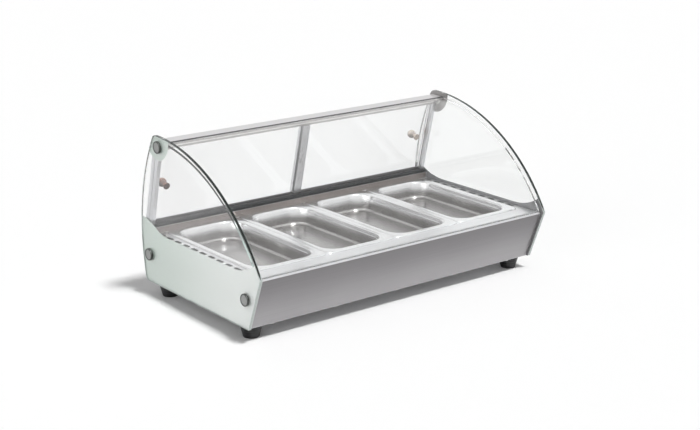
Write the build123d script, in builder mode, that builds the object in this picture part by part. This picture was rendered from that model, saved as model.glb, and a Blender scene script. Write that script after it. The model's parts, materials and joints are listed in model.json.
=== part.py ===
from build123d import *
from math import atan2, cos, radians, sin, sqrt, tan
import os

os.makedirs("parts", exist_ok=True)

# Frame: X across the front, Y towards the serving side at the back, Z up.
# The origin lies on the counter, under the middle of the case. All lengths are in millimetres.

# Food pans, as wide as the 1/3 size of the common catering module; their length follows the
# case's depth, and comes out at the module's 325
pan_count = 4
pan_width = 176.0
pan_depth = 40.0
pan_wall = 0.8
pan_rim_width = 12.0
pan_rim_drop = 3.0
pan_corner = 42.0
pan_rim_corner = 9.0
pan_rim_round = 2.0
pan_taper = 4.0
pan_floor_round = 7.0
pan_gap = 1.5
pan_clearance = 1.0

# Body of bent sheet metal
sheet = 1.2
flange = 10.0
ledge_width = 21.75
case_depth = 436.0
case_height = 355.0
foot_height = 30.0
deck_height = 138.5
kink_above_deck = 2.5
front_setback = 41.5
sill_width = 58.2
upstand_gap = 6.1
upstand_height = 13.5
shelf_depth = 42.0
shelf_overhang = 15.5
rear_overhang = 4.7
slot_count = 10
slot_length = 22.0
slot_width = 8.0
slot_pitch = 31.0
slot_inset = 9.0
slot_first_from_upstand = 15.5
base_slots_fewer = 4

# Side glass, stand-off buttons and enamel
side_glass_t = 6.0
glass_gap = 2.0
glass_overhang = 5.0
front_radius = 432.0
rear_radius = 433.0
rear_bulge_height = 136.5
top_round = 14.0
bottom_round = 11.0
enamel_t = 0.3
enamel_above_deck = 4.0
window_from_front = 53.0
window_front_run = 70.0
window_front_rise = 53.0
window_from_rear = 80.0
window_rear_run = 62.0
window_rear_rise = 26.1
window_front_round = 115.0
window_rear_round = 100.0
window_end_round = 80.0
window_outer_round = 5.0
patch_radius = 44.0
patch_from_top = 8.0
patch_from_rear = 70.0
button_radius = 13.0
button_height = 5.0
button_round = 1.2
stud_radius = 3.0
stud_length = 20.0
bush_wall = 2.0
washer_radius = 10.0
fit_clearance = 0.05
low_button_height = 61.0
low_button_front = 25.0
low_button_rear = 10.0
top_button_w = 1.9
top_button_rise = 11.0
glass_nut_radius = 5.8
glass_nut_t = 5.0

# Front glass
front_glass_t = 5.0
front_glass_inset = 9.0
front_glass_end_gap = 1.5
glass_top_ahead = 20.0
gasket_t = 2.0
sill_channel_base = 1.0
sill_channel_lip = 1.2
sill_channel_height = 2.5

# Doors, their tracks and posts, all leaning forward
door_lean = 13.4
door_line_gap = 10.0
door_glass_t = 5.0
inner_door_w = 8.0
door_spacing = 4.0
door_side_gap = 1.5
groove_clearance = 0.6
track_height = 6.0
track_base = 1.5
track_wall = 1.0
track_front_gap = 0.7
strip_depth = 14.0
track_rear_gap = 0.3
light_line_width = 3.0
light_line_depth = 0.6
door_floor_gap = 1.8
rail_below_top = 34.7
upper_groove_depth = 12.0
door_in_rail = 7.0
stile_width = 18.0
stile_t = 1.2
stile_seat = 0.2
stile_glass_gap = 0.1
stile_end_gap = 8.0
stile_top_gap = 2.0
glide_length = 24.0
post_depth = 24.0
post_front_w = 3.0
post_web = 3.0
post_lip = 8.0
post_lip_t = 2.5
post_groove_from_front = 11.0
post_groove_width = 2.0
post_groove_depth = 1.2
knob_from_edge = 25.0
knob_rise = 87.5
knob_ball_radius = 10.0
knob_stem_radius = 4.5
knob_stem_length = 7.0
knob_disc_radius = 7.5
knob_disc_t = 2.0
knob_bolt_radius = 2.5
knob_bolt_reach = 6.0
knob_ball_offset = 8.0
knob_hole_clearance = 0.5
door_stop_clearance = 3.0

# Top rail with its lamp
rail_depth = 27.0
rail_wall = 1.6
rail_lip_reach = 3.5
rail_nose_w = 4.8
rail_top_flat = 31.0
rail_rear_height = 13.0
rail_glass_clearance = 0.3
lamp_width = 10.0
lamp_pocket_depth = 4.5
lamp_board_t = 1.6
lamp_cover_t = 2.0
led_size = 3.0
led_t = 0.8
led_pitch = 20.0
chamber_behind_glass = 11.0
chamber_height = 4.0
lamp_from_lip = 7.0
lamp_end_gap = 20.0

# Heated well under the pans
well_clearance = 3.0
well_floor_height = 60.0
well_wall = 0.8
well_flange = 8.0
insulation_t = 18.0
insulation_bevel = 10.0
insulation_side_gap = 12.0
element_radius = 3.25
element_height = 13.0
element_leg_pitch = 72.0
element_legs = 4
element_bend = 22.0
element_front_gap = 26.0
element_back_gap = 20.0
element_tail = 16.0
clamp_width = 12.0
clamp_length = 16.0
clamp_wall = 3.0
clamp_from_end = 60.0
gland_radius = 7.5
gland_t = 5.0

# Feet
foot_top_radius = 23.0
foot_bottom_radius = 15.0
foot_round = 2.0
foot_inset_x = 23.0
foot_inset_front = 31.0
foot_inset_rear = 35.0
foot_screw_radius = 2.5
foot_recess_radius = 6.0
foot_recess_depth = 8.0
foot_bolt_head_radius = 5.0
foot_bolt_head_t = 4.0
foot_bolt_reach = 6.0
foot_nut_radius = 5.2
foot_nut_t = 4.0

# Screws that hold the base plate, the rear panel and the mains inlet
screw_radius = 2.0
screw_head_radius = 4.0
screw_head_t = 2.2
screw_length = 5.0
screw_inset = 6.0
screw_pitch = 160.0
screw_count = 5

# Rear control panel
control_height = 96.0
bezel_reach = 2.5
switch_x = 236.0
switch_pitch = 26.0
switch_width = 15.0
switch_height = 21.0
switch_bezel = 2.0
switch_depth = 16.0
switch_wall = 1.4
tab_width = 4.8
tab_t = 0.8
tab_pitch = 10.0
tab_length = 7.0
rocker_gap = 0.6
rocker_tilt = 10.0
rocker_pin_radius = 1.5
rocker_pin_reach = 1.8
rocker_half = 8.2
rocker_proud = 5.0
rocker_dish = 3.4
rocker_shoulder = 1.0
rocker_root = 4.0
rocker_root_half = 3.0
pivot_depth = 2.0
thermostat_x = -282.0
thermostat_size = 34.0
thermostat_depth = 26.0
thermostat_round = 2.0
neck_radius = 5.0
neck_proud = 0.5
neck_nut_radius = 7.5
nut_t = 2.5
shaft_radius = 3.0
shaft_depth = 8.0
shaft_flat = 1.0
knob_radius = 19.0
knob_height = 15.0
knob_taper = 5.0
knob_round = 1.5
knob_crown = 2.5
knob_gap = 0.5
knob_grip_count = 24
groove_radius = 2.0
groove_depth = 0.9
groove_stop = 3.0
pointer_width = 1.6
pointer_length = 9.0
pointer_depth = 0.6
pointer_from_rim = 3.5
bulb_x = -200.0
bulb_z = 104.0
bulb_radius = 3.0
bulb_length = 80.0
capillary_radius = 1.0
capillary_bend = 5.0
capillary_inset = 8.0
pilot_x = 192.0
pilot_radius = 5.0
pilot_rim_t = 1.5
pilot_proud = 2.5
pilot_round = 2.0
pilot_length = 18.0
thermometer_x = -215.0
thermometer_width = 48.0
thermometer_height = 28.0
thermometer_depth = 14.0
window_width = 34.0
window_height = 15.0
window_t = 1.0
inlet_x = 300.0
inlet_z = 66.0
inlet_width = 27.0
inlet_height = 19.5
inlet_depth = 18.0
inlet_wall = 1.5
inlet_corner = 4.5
inlet_flange_t = 2.5
inlet_screw_pitch = 40.0
inlet_ear = 9.0
pin_t = 2.0
pin_width = 4.0
pin_side = 7.0
pin_rise = 4.0
pin_setback = 2.0

# Terminal block and earth stud
terminal_x = 150.0
terminal_from_rear = 21.8
terminal_count = 3
terminal_pitch = 11.0
terminal_length = 18.0
terminal_height = 15.0
terminal_hole_radius = 2.2
earth_x = 200.0
earth_height = 14.0

# Derived sizes
pans_width = pan_count * pan_width + (pan_count - 1) * pan_gap
body_width = pans_width + 2 * ledge_width
half = body_width / 2
kink_y = -case_depth / 2
kink_z = deck_height + kink_above_deck
front_lean = atan2(front_setback, kink_z - foot_height)
arc_z = case_height - front_radius
arc_y = kink_y + sqrt(front_radius**2 - (kink_z - arc_z) ** 2)
rear_arc_y = case_depth / 2 - rear_radius
glass_in = half + glass_gap
glass_out = glass_in + side_glass_t
pan_length = case_depth - sill_width - upstand_gap - shelf_depth - rear_overhang
pan_front_y = kink_y + sill_width
pan_rear_y = pan_front_y + pan_length
upstand_y = pan_rear_y + upstand_gap
shelf_z = deck_height + upstand_height
shelf_rear_y = upstand_y + shelf_depth
rear_y = shelf_rear_y - shelf_overhang
under_deck = deck_height - sheet
base_top = foot_height + sheet
lean = radians(door_lean)
door_y0 = upstand_y + door_line_gap
outer_door_w = inner_door_w + door_glass_t + door_spacing
top_v = (case_height - shelf_z) / cos(lean)
rail_bottom_v = top_v - rail_below_top
rail_rear_v = rail_bottom_v + rail_rear_height
door_top_v = rail_bottom_v + door_in_rail
top_button_v = rail_bottom_v + top_button_rise
glass_top_y = door_y0 - rail_bottom_v * sin(lean) - glass_top_ahead
chamber_front_y = glass_top_y + chamber_behind_glass
window_front_y = kink_y + window_from_front
window_rear_y = case_depth / 2 - window_from_rear
terminal_y = rear_y - terminal_from_rear


def front_y(z):
    """Y of the body's leaning front at height z."""
    return kink_y + (kink_z - z) * tan(front_lean) + glass_overhang / cos(front_lean)


def glass_front_y(z):
    """Y of the side glass's lower front edge at height z."""
    return kink_y + (kink_z - z) * tan(front_lean)


def arc_at(y, radius):
    """Height of the front arc of this radius at depth y."""
    return arc_z + sqrt(radius**2 - (y - arc_y) ** 2)


def door_yz(w, v):
    """Point of the leaning door frame: w behind its front plane, v up along the lean."""
    return (door_y0 + w * cos(lean) - v * sin(lean), shelf_z + v * cos(lean) + w * sin(lean))


def door_plane(w):
    """Plane of the leaning doors, w behind the frame's front; its local Y runs up the lean."""
    origin = (0, door_y0 + w * cos(lean), shelf_z + w * sin(lean))
    return Plane(origin=origin, x_dir=(1, 0, 0), z_dir=(0, -cos(lean), -sin(lean)))


def folded(line, thickness):
    """Closed outline of a bent sheet whose outer face is the line; the metal is on its right."""
    normals = []
    for (ay, az), (by, bz) in zip(line, line[1:]):
        length = sqrt((by - ay) ** 2 + (bz - az) ** 2)
        normals.append(((bz - az) / length, (ay - by) / length))
    inner = []
    for i, (y, z) in enumerate(line):
        first = normals[max(i - 1, 0)]
        second = normals[min(i, len(normals) - 1)]
        k = thickness / (1 + first[0] * second[0] + first[1] * second[1])
        inner.append((y + k * (first[0] + second[0]), z + k * (first[1] + second[1])))
    return line + inner[::-1]


# Food pans, one for each place in the row
pan_places = [(i - (pan_count - 1) / 2) * (pan_width + pan_gap) for i in range(pan_count)]
pan_mid_y = pan_front_y + pan_length / 2
pan_top = deck_height + pan_rim_drop
tub_width = pan_width - 2 * pan_rim_width
tub_length = pan_length - 2 * pan_rim_width
with BuildPart() as tub_outside:
    with BuildSketch(Plane.XY.offset(pan_top)):
        with Locations((0, pan_mid_y)):
            RectangleRounded(tub_width, tub_length, pan_corner)
    extrude(amount=-pan_depth, taper=pan_taper)
    fillet(tub_outside.edges().group_by(Axis.Z)[0], pan_floor_round)

with BuildPart() as tub_inside:
    with BuildSketch(Plane.XY.offset(pan_top)):
        with Locations((0, pan_mid_y)):
            RectangleRounded(tub_width - 2 * pan_wall, tub_length - 2 * pan_wall, pan_corner - pan_wall)
    extrude(amount=pan_wall - pan_depth, taper=pan_taper)
    fillet(tub_inside.edges().group_by(Axis.Z)[0], pan_floor_round - pan_wall)

for number, pan_x in enumerate(pan_places, start=1):
    place = Location((pan_x, 0, 0))
    with BuildPart() as pan:
        with BuildSketch(Plane.XY.offset(deck_height)):
            with Locations((pan_x, pan_mid_y)):
                RectangleRounded(pan_width, pan_length, pan_rim_corner)
        extrude(amount=pan_rim_drop)
        fillet(pan.faces().sort_by(Axis.Z)[-1].edges(), pan_rim_round)
        with BuildSketch(Plane.XY.offset(deck_height)):
            with Locations((pan_x, pan_mid_y)):
                RectangleRounded(
                    pan_width - 2 * pan_wall, pan_length - 2 * pan_wall, pan_rim_corner - pan_wall
                )
        extrude(amount=pan_rim_drop - pan_rim_round, mode=Mode.SUBTRACT)
        add(tub_outside.part.moved(place))
        add(tub_inside.part.moved(place), mode=Mode.SUBTRACT)
    pan.part.label = f"pan_{number}"
    export_step(pan.part, f"parts/pan_{number}.step")

# Body: two side skins, base plate, leaning fascia, rear panel and the top deck
skin_line = [
    (front_y(foot_height), foot_height),
    (front_y(under_deck), under_deck),
    (upstand_y + sheet, under_deck),
    (upstand_y + sheet, shelf_z - sheet),
    (shelf_rear_y - sheet, shelf_z - sheet),
    (shelf_rear_y - sheet, under_deck),
    (rear_y, under_deck),
    (rear_y, foot_height),
]
low_button_z = foot_height + low_button_height
front_button_y = front_y(low_button_z) + low_button_front
rear_button_y = rear_y - low_button_rear
top_button_y, top_button_z = door_yz(top_button_w, top_button_v)
low_buttons = [(front_button_y, low_button_z), (rear_button_y, low_button_z)]
all_buttons = low_buttons + [(top_button_y, top_button_z)]

for side, name in ((-1, "side_skin_left"), (1, "side_skin_right")):
    with BuildPart() as skin:
        with BuildSketch(Plane.YZ.offset(side * half)):
            with BuildLine():
                Polyline(*skin_line, close=True)
            make_face()
            with Locations(*low_buttons):
                Circle(stud_radius + fit_clearance, mode=Mode.SUBTRACT)
        extrude(amount=-side * sheet)
    skin.part.label = name
    export_step(skin.part, f"parts/{name}.step")

inner_width = body_width - 2 * sheet
slot_x = half - slot_inset
slot_mid_y = upstand_y - slot_first_from_upstand - (slot_count - 1) * slot_pitch / 2
foot_x = half - foot_inset_x
foot_front_y = front_y(foot_height) + foot_inset_front
foot_rear_y = rear_y - foot_inset_rear
foot_places = [(sx * foot_x, y) for sx in (-1, 1) for y in (foot_front_y, foot_rear_y)]
base_length = rear_y - front_y(base_top)
base_mid_y = (rear_y + front_y(base_top)) / 2
screw_row = [(i - (screw_count - 1) / 2) * screw_pitch for i in range(screw_count)]
fascia_screws = [(x, front_y(base_top) + screw_inset) for x in screw_row]
rear_screws = [(x, rear_y - screw_inset) for x in screw_row]
screw_places = fascia_screws + rear_screws
with BuildPart() as base_plate:
    with BuildSketch(Plane.XY.offset(foot_height)):
        with Locations((0, base_mid_y)):
            Rectangle(inner_width, base_length)
        with Locations(*foot_places):
            Circle(foot_screw_radius + fit_clearance, mode=Mode.SUBTRACT)
        with Locations(*screw_places):
            Circle(screw_radius + fit_clearance, mode=Mode.SUBTRACT)
        with Locations((0, slot_mid_y)):
            with GridLocations(2 * slot_x, slot_pitch, 2, slot_count - base_slots_fewer):
                SlotOverall(slot_length, slot_width, rotation=90, mode=Mode.SUBTRACT)
    extrude(amount=sheet)
base_plate.part.label = "base_plate"
export_step(base_plate.part, "parts/base_plate.step")

fascia_line = [
    (front_y(base_top) + flange, base_top),
    (front_y(base_top), base_top),
    (front_y(under_deck), under_deck),
    (front_y(under_deck) + flange, under_deck),
]
with BuildPart() as front_fascia:
    with BuildSketch(Plane.YZ.offset(-inner_width / 2)):
        with BuildLine():
            Polyline(*folded(fascia_line, sheet), close=True)
        make_face()
    extrude(amount=inner_width)
    with Locations(*[(x, y, base_top + sheet) for x, y in fascia_screws]):
        Hole(screw_radius + fit_clearance, depth=2 * sheet)
front_fascia.part.label = "front_fascia"
export_step(front_fascia.part, "parts/front_fascia.step")

# Top deck: sill, ledges and the rear shelf in one bent sheet, with the pan opening and the vent slots
deck_line = [
    (front_y(deck_height), deck_height),
    (upstand_y, deck_height),
    (upstand_y, shelf_z),
    (shelf_rear_y, shelf_z),
    (shelf_rear_y, under_deck),
    (rear_y - flange, under_deck),
]
well_width = pans_width - 2 * pan_rim_width + 2 * pan_clearance
well_front_y = pan_front_y + pan_rim_width - pan_clearance
well_rear_y = pan_rear_y - pan_rim_width + pan_clearance
well_length = well_rear_y - well_front_y
well_mid_y = (well_rear_y + well_front_y) / 2
with BuildPart() as top_deck:
    with BuildSketch(Plane.YZ.offset(-half)):
        with BuildLine():
            Polyline(*folded(deck_line, sheet), close=True)
        make_face()
    extrude(amount=body_width)
    with BuildSketch(Plane.XY.offset(deck_height)):
        with Locations((0, well_mid_y)):
            RectangleRounded(well_width, well_length, pan_corner)
        with Locations((0, slot_mid_y)):
            with GridLocations(2 * slot_x, slot_pitch, 2, slot_count):
                SlotOverall(slot_length, slot_width, rotation=90)
    extrude(amount=-sheet, mode=Mode.SUBTRACT)
    notch_y = (rear_y - flange + shelf_rear_y - sheet) / 2
    with BuildSketch(Plane.XY.offset(under_deck)):
        with Locations((-half + sheet / 2, notch_y), (half - sheet / 2, notch_y)):
            Rectangle(sheet, shelf_rear_y - sheet - rear_y + flange)
    extrude(amount=sheet, mode=Mode.SUBTRACT)
top_deck.part.label = "top_deck"
export_step(top_deck.part, "parts/top_deck.step")


def upright(y):
    """Upright plane at depth y, with local axes X and Z; a negative extrusion runs to the back."""
    return Plane.XZ.offset(-y)


# Rear panel between the skins, under the shelf, with the cut-outs of the controls
rear_line = [
    (rear_y - flange, under_deck),
    (rear_y, under_deck),
    (rear_y, base_top),
    (rear_y - flange, base_top),
]
switch_places = {"power": switch_x, "light": switch_x + switch_pitch}
inlet_screws = [(inlet_x - inlet_screw_pitch / 2, inlet_z), (inlet_x + inlet_screw_pitch / 2, inlet_z)]
with BuildPart() as rear_panel:
    with BuildSketch(Plane.YZ.offset(-inner_width / 2)):
        with BuildLine():
            Polyline(*folded(rear_line, sheet), close=True)
        make_face()
    extrude(amount=inner_width)
    with Locations(*[(x, y, base_top + sheet) for x, y in rear_screws]):
        Hole(screw_radius + fit_clearance, depth=2 * sheet)
    with BuildSketch(upright(rear_y)):
        with Locations((thermostat_x, control_height)):
            Circle(neck_radius + fit_clearance)
        with Locations((pilot_x, control_height)):
            Circle(pilot_radius + fit_clearance)
        with Locations((thermometer_x, control_height)):
            Rectangle(
                thermometer_width - 2 * bezel_reach + 2 * fit_clearance,
                thermometer_height - 2 * bezel_reach + 2 * fit_clearance,
            )
        with Locations(*[(x, control_height) for x in switch_places.values()]):
            Rectangle(switch_width + 2 * fit_clearance, switch_height + 2 * fit_clearance)
        with Locations((inlet_x, inlet_z)):
            Rectangle(inlet_width + 2 * fit_clearance, inlet_height + 2 * fit_clearance)
        with Locations(*inlet_screws):
            Circle(screw_radius + fit_clearance)
    extrude(amount=sheet, mode=Mode.SUBTRACT)
rear_panel.part.label = "rear_panel"
export_step(rear_panel.part, "parts/rear_panel.step")

# Screws: two rows up through the base plate, and two through the flange of the mains inlet
with BuildPart() as case_screws:
    with BuildSketch(Plane.XY.offset(foot_height)):
        with Locations(*screw_places):
            Circle(screw_head_radius)
    extrude(amount=-screw_head_t)
    with BuildSketch(Plane.XY.offset(foot_height)):
        with Locations(*screw_places):
            Circle(screw_radius)
    extrude(amount=screw_length)
    with BuildSketch(upright(rear_y + inlet_flange_t)):
        with Locations(*inlet_screws):
            Circle(screw_head_radius)
    extrude(amount=-screw_head_t)
    with BuildSketch(upright(rear_y + inlet_flange_t)):
        with Locations(*inlet_screws):
            Circle(screw_radius)
    extrude(amount=screw_length + inlet_flange_t)
case_screws.part.label = "case_screws"
export_step(case_screws.part, "parts/case_screws.step")

# Well liner: a folded tray spot-welded under the deck, around the pans
liner_x = well_width / 2 + well_clearance
liner_front_y = well_front_y - well_clearance
liner_rear_y = well_rear_y + well_clearance
liner_length = liner_rear_y - liner_front_y
liner_depth = under_deck - well_floor_height
liner_bottom = well_floor_height - well_wall
leg_span = (element_legs - 1) * element_leg_pitch
leg_places = [well_width / 4 - leg_span / 2 + i * element_leg_pitch for i in range(element_legs)]
tail_places = [sx * x for sx in (-1, 1) for x in (leg_places[0], leg_places[-1])]
element_z = well_floor_height + element_height
with BuildPart() as well_liner:
    with BuildSketch(Plane.XY.offset(under_deck)):
        with Locations((0, well_mid_y)):
            RectangleRounded(
                2 * (liner_x + well_wall), liner_length + 2 * well_wall, pan_corner + well_wall
            )
    extrude(amount=-liner_depth - well_wall)
    with BuildSketch(Plane.XY.offset(under_deck)):
        with Locations((0, well_mid_y)):
            Rectangle(2 * (liner_x + well_flange), liner_length + 2 * well_flange)
    extrude(amount=-well_wall)
    with BuildSketch(Plane.XY.offset(under_deck)):
        with Locations((0, well_mid_y)):
            RectangleRounded(2 * liner_x, liner_length, pan_corner)
    extrude(amount=-liner_depth, mode=Mode.SUBTRACT)
    with BuildSketch(upright(liner_rear_y)):
        with Locations(*[(x, element_z) for x in tail_places]):
            Circle(element_radius + fit_clearance)
    extrude(amount=-well_wall, mode=Mode.SUBTRACT)
well_liner.part.label = "well_liner"
export_step(well_liner.part, "parts/well_liner.step")

# Insulation under the well and in front of it, standing on the base plate
insulation_front_y = liner_front_y - well_wall - insulation_t
with BuildPart() as insulation:
    with BuildSketch(Plane.YZ.offset(insulation_side_gap - liner_x)):
        with BuildLine():
            Polyline(
                (liner_front_y - well_wall, base_top),
                (liner_rear_y + well_wall, base_top),
                (liner_rear_y + well_wall, liner_bottom),
                (liner_front_y - well_wall, liner_bottom),
                (liner_front_y - well_wall, under_deck - well_wall),
                (insulation_front_y, under_deck - well_wall),
                (insulation_front_y, base_top + insulation_bevel),
                close=True,
            )
        make_face()
    extrude(amount=2 * (liner_x - insulation_side_gap))
insulation.part.label = "insulation"
export_step(insulation.part, "parts/insulation.step")

# Heating elements: one bent tube in each half of the well, both ends out through its rear wall
element_front = liner_front_y + element_front_gap
element_back = liner_rear_y - element_back_gap
tail_end = liner_rear_y + element_tail
for side, name in ((-1, "heating_element_left"), (1, "heating_element_right")):
    corners = [(side * leg_places[0], tail_end, element_z)]
    for i, x in enumerate(leg_places):
        near, far = (element_back, element_front) if i % 2 == 0 else (element_front, element_back)
        if i > 0:
            corners.append((side * x, near, element_z))
        corners.append((side * x, far, element_z))
    corners[-1] = (side * leg_places[-1], tail_end, element_z)
    with BuildPart() as element:
        with BuildLine():
            path = FilletPolyline(*corners, radius=element_bend)
        with BuildSketch(Plane(origin=corners[0], z_dir=(0, -1, 0))):
            Circle(element_radius)
        sweep(path=path)
    element.part.label = name
    export_step(element.part, f"parts/{name}.step")

# Clamps that hold the elements' legs down on the floor of the well
clamp_ys = (element_front + clamp_from_end, element_back - clamp_from_end)
clamp_places = [(sx * x, y) for sx in (-1, 1) for x in leg_places for y in clamp_ys]
with BuildPart() as element_clamps:
    with BuildSketch(Plane.XY.offset(well_floor_height)):
        with Locations(*clamp_places):
            Rectangle(clamp_width, clamp_length)
    extrude(amount=element_height + element_radius + clamp_wall)
    with BuildSketch(upright(clamp_ys[0] - clamp_length)):
        with Locations(*[(sx * x, element_z) for sx in (-1, 1) for x in leg_places]):
            Circle(element_radius + fit_clearance)
    extrude(amount=-(clamp_ys[1] - clamp_ys[0] + 2 * clamp_length), mode=Mode.SUBTRACT)
element_clamps.part.label = "element_clamps"
export_step(element_clamps.part, "parts/element_clamps.step")

# Gland nuts around the elements' ends, behind the well
with BuildPart() as element_glands:
    with BuildSketch(upright(liner_rear_y + well_wall)):
        with Locations(*[(x, element_z) for x in tail_places]):
            RegularPolygon(gland_radius, 6)
            Circle(element_radius + fit_clearance, mode=Mode.SUBTRACT)
    extrude(amount=-gland_t)
element_glands.part.label = "element_glands"
export_step(element_glands.part, "parts/element_glands.step")

# Feet: turned cones, each with a recess for the head of its bolt, on a bolt with a nut inside the base
bore_radius = foot_screw_radius + fit_clearance
with BuildPart() as one_foot:
    with BuildSketch(Plane.XZ):
        with BuildLine():
            Polyline(
                (bore_radius, foot_recess_depth),
                (foot_recess_radius, foot_recess_depth),
                (foot_recess_radius, 0),
                (foot_bottom_radius, 0),
                (foot_top_radius, foot_height),
                (bore_radius, foot_height),
                close=True,
            )
        make_face()
    revolve(axis=Axis.Z)
    fillet(one_foot.edges().filter_by(GeomType.CIRCLE).sort_by(SortBy.RADIUS)[-1], foot_round)
    fillet(one_foot.faces().sort_by(Axis.Z)[0].edges().sort_by(SortBy.RADIUS)[-1], foot_round)
with BuildPart() as one_foot_bolt:
    with BuildSketch(Plane.XY.offset(foot_recess_depth)):
        Circle(foot_bolt_head_radius)
    extrude(amount=-foot_bolt_head_t)
    with BuildSketch(Plane.XY.offset(foot_recess_depth)):
        Circle(foot_screw_radius)
    extrude(amount=base_top + foot_bolt_reach - foot_recess_depth)
with BuildPart() as one_foot_nut:
    with BuildSketch(Plane.XY.offset(base_top)):
        RegularPolygon(foot_nut_radius, 6)
        Circle(bore_radius, mode=Mode.SUBTRACT)
    extrude(amount=foot_nut_t)

with BuildPart() as feet:
    with Locations(*[(x, y, 0) for x, y in foot_places]):
        add(one_foot.part)
feet.part.label = "feet"
export_step(feet.part, "parts/feet.step")

with BuildPart() as foot_bolts:
    with Locations(*[(x, y, 0) for x, y in foot_places]):
        add(one_foot_bolt.part)
        add(one_foot_nut.part)
foot_bolts.part.label = "foot_bolts"
export_step(foot_bolts.part, "parts/foot_bolts.step")


def crossing(ay, az, ar, by, bz, br):
    """Upper crossing point of two circles in the YZ plane."""
    gap = sqrt((by - ay) ** 2 + (bz - az) ** 2)
    along = (ar**2 - br**2 + gap**2) / (2 * gap)
    across = sqrt(ar**2 - along**2)
    uy, uz = (by - ay) / gap, (bz - az) / gap
    ends = [(ay + along * uy - s * across * uz, az + along * uz + s * across * uy) for s in (-1, 1)]
    return max(ends, key=lambda end: end[1])


def from_centre(cy, cz, radius, toward):
    """Point of a circle in the direction of another point."""
    dy, dz = toward[0] - cy, toward[1] - cz
    length = sqrt(dy**2 + dz**2)
    return (cy + radius * dy / length, cz + radius * dz / length)


def arc_between(cy, cz, radius, first, second):
    """Arc of a circle from its point first to its point second, the short way round."""
    middle = ((first[0] + second[0]) / 2, (first[1] + second[1]) / 2)
    return ThreePointArc(first, from_centre(cy, cz, radius, middle), second)


# Outline of the side glass: leaning lower front, long front arc, rear arc, flat foot.
# It is drawn flat, with Y and Z of the case as its two axes, and placed at each side later.
glass_foot = (glass_front_y(foot_height), foot_height)
glass_kink = (kink_y, kink_z)
peak_centre = crossing(
    arc_y, arc_z, front_radius - top_round, rear_arc_y, rear_bulge_height, rear_radius - top_round
)
peak_front = from_centre(arc_y, arc_z, front_radius, peak_centre)
peak_rear = from_centre(rear_arc_y, rear_bulge_height, rear_radius, peak_centre)
heel_z = foot_height + bottom_round
heel_reach = sqrt((rear_radius - bottom_round) ** 2 - (heel_z - rear_bulge_height) ** 2)
heel_centre = (rear_arc_y + heel_reach, heel_z)
heel_rear = from_centre(rear_arc_y, rear_bulge_height, rear_radius, heel_centre)
heel_foot = (heel_centre[0], foot_height)
hole_radius = stud_radius + bush_wall + fit_clearance
with BuildSketch() as glass_outline:
    with BuildLine():
        Line(glass_foot, glass_kink)
        arc_between(arc_y, arc_z, front_radius, glass_kink, peak_front)
        arc_between(*peak_centre, top_round, peak_front, peak_rear)
        arc_between(rear_arc_y, rear_bulge_height, rear_radius, peak_rear, heel_rear)
        arc_between(*heel_centre, bottom_round, heel_rear, heel_foot)
        Line(heel_foot, glass_foot)
    make_face()
    with Locations(*all_buttons):
        Circle(hole_radius, mode=Mode.SUBTRACT)

# Enamel: the outline less the clear window, plus a patch behind the top button
window_foot_z = deck_height + enamel_above_deck
window_corners = [
    (window_front_y - window_front_run, window_foot_z + window_front_rise),
    (window_front_y, window_foot_z),
    (window_rear_y, window_foot_z),
    (window_rear_y + window_rear_run, window_foot_z + window_rear_rise),
    (case_depth, window_foot_z + window_rear_rise),
    (case_depth, case_height + case_depth),
    (-case_depth, case_height + case_depth),
    (-case_depth, window_foot_z + window_front_rise),
]
window_rounds = [window_outer_round] * len(window_corners)
window_rounds[1:4] = [window_front_round, window_rear_round, window_end_round]
with BuildSketch() as window:
    with BuildLine():
        FilletPolyline(*window_corners, radius=window_rounds, close=True)
    make_face()
with BuildSketch() as patch:
    with Locations((case_depth / 2 - patch_from_rear, case_height - patch_from_top)):
        Circle(patch_radius)
    add(glass_outline.sketch, mode=Mode.INTERSECT)
with BuildSketch() as enamel_shape:
    add(glass_outline.sketch)
    add(window.sketch, mode=Mode.SUBTRACT)
    add(patch.sketch)

for side, name in ((-1, "side_glass_left"), (1, "side_glass_right")):
    with BuildPart() as side_glass:
        with BuildSketch(Plane.YZ.offset(side * glass_in)):
            add(glass_outline.sketch)
        extrude(amount=side * side_glass_t)
    side_glass.part.label = name
    export_step(side_glass.part, f"parts/{name}.step")

with BuildPart() as side_enamel:
    for side in (-1, 1):
        with BuildSketch(Plane.YZ.offset(side * glass_in)):
            add(enamel_shape.sketch)
        extrude(amount=-side * enamel_t)
side_enamel.part.label = "side_enamel"
export_step(side_enamel.part, "parts/side_enamel.step")

# Stand-off buttons with their studs, and the nylon bushes that keep metal off the glass
with BuildPart() as glass_buttons:
    for side in (-1, 1):
        with BuildSketch(Plane.YZ.offset(side * glass_out)):
            with Locations(*all_buttons):
                Circle(button_radius)
        extrude(amount=side * button_height)
    caps = glass_buttons.faces().filter_by(Axis.X)
    fillet((caps.group_by(Axis.X)[0] + caps.group_by(Axis.X)[-1]).edges(), button_round)
    for side in (-1, 1):
        with BuildSketch(Plane.YZ.offset(side * glass_out)):
            with Locations(*all_buttons):
                Circle(stud_radius)
        extrude(amount=-side * stud_length)
glass_buttons.part.label = "glass_buttons"
export_step(glass_buttons.part, "parts/glass_buttons.step")

with BuildPart() as button_bushes:
    for side in (-1, 1):
        with BuildSketch(Plane.YZ.offset(side * half)):
            with Locations(*all_buttons):
                Circle(washer_radius)
                Circle(stud_radius + fit_clearance, mode=Mode.SUBTRACT)
        extrude(amount=side * (glass_gap - enamel_t))
        with BuildSketch(Plane.YZ.offset(side * (glass_in - enamel_t))):
            with Locations(*all_buttons):
                Circle(stud_radius + bush_wall)
                Circle(stud_radius + fit_clearance, mode=Mode.SUBTRACT)
        extrude(amount=side * (side_glass_t + enamel_t))
button_bushes.part.label = "button_bushes"
export_step(button_bushes.part, "parts/button_bushes.step")

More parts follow.
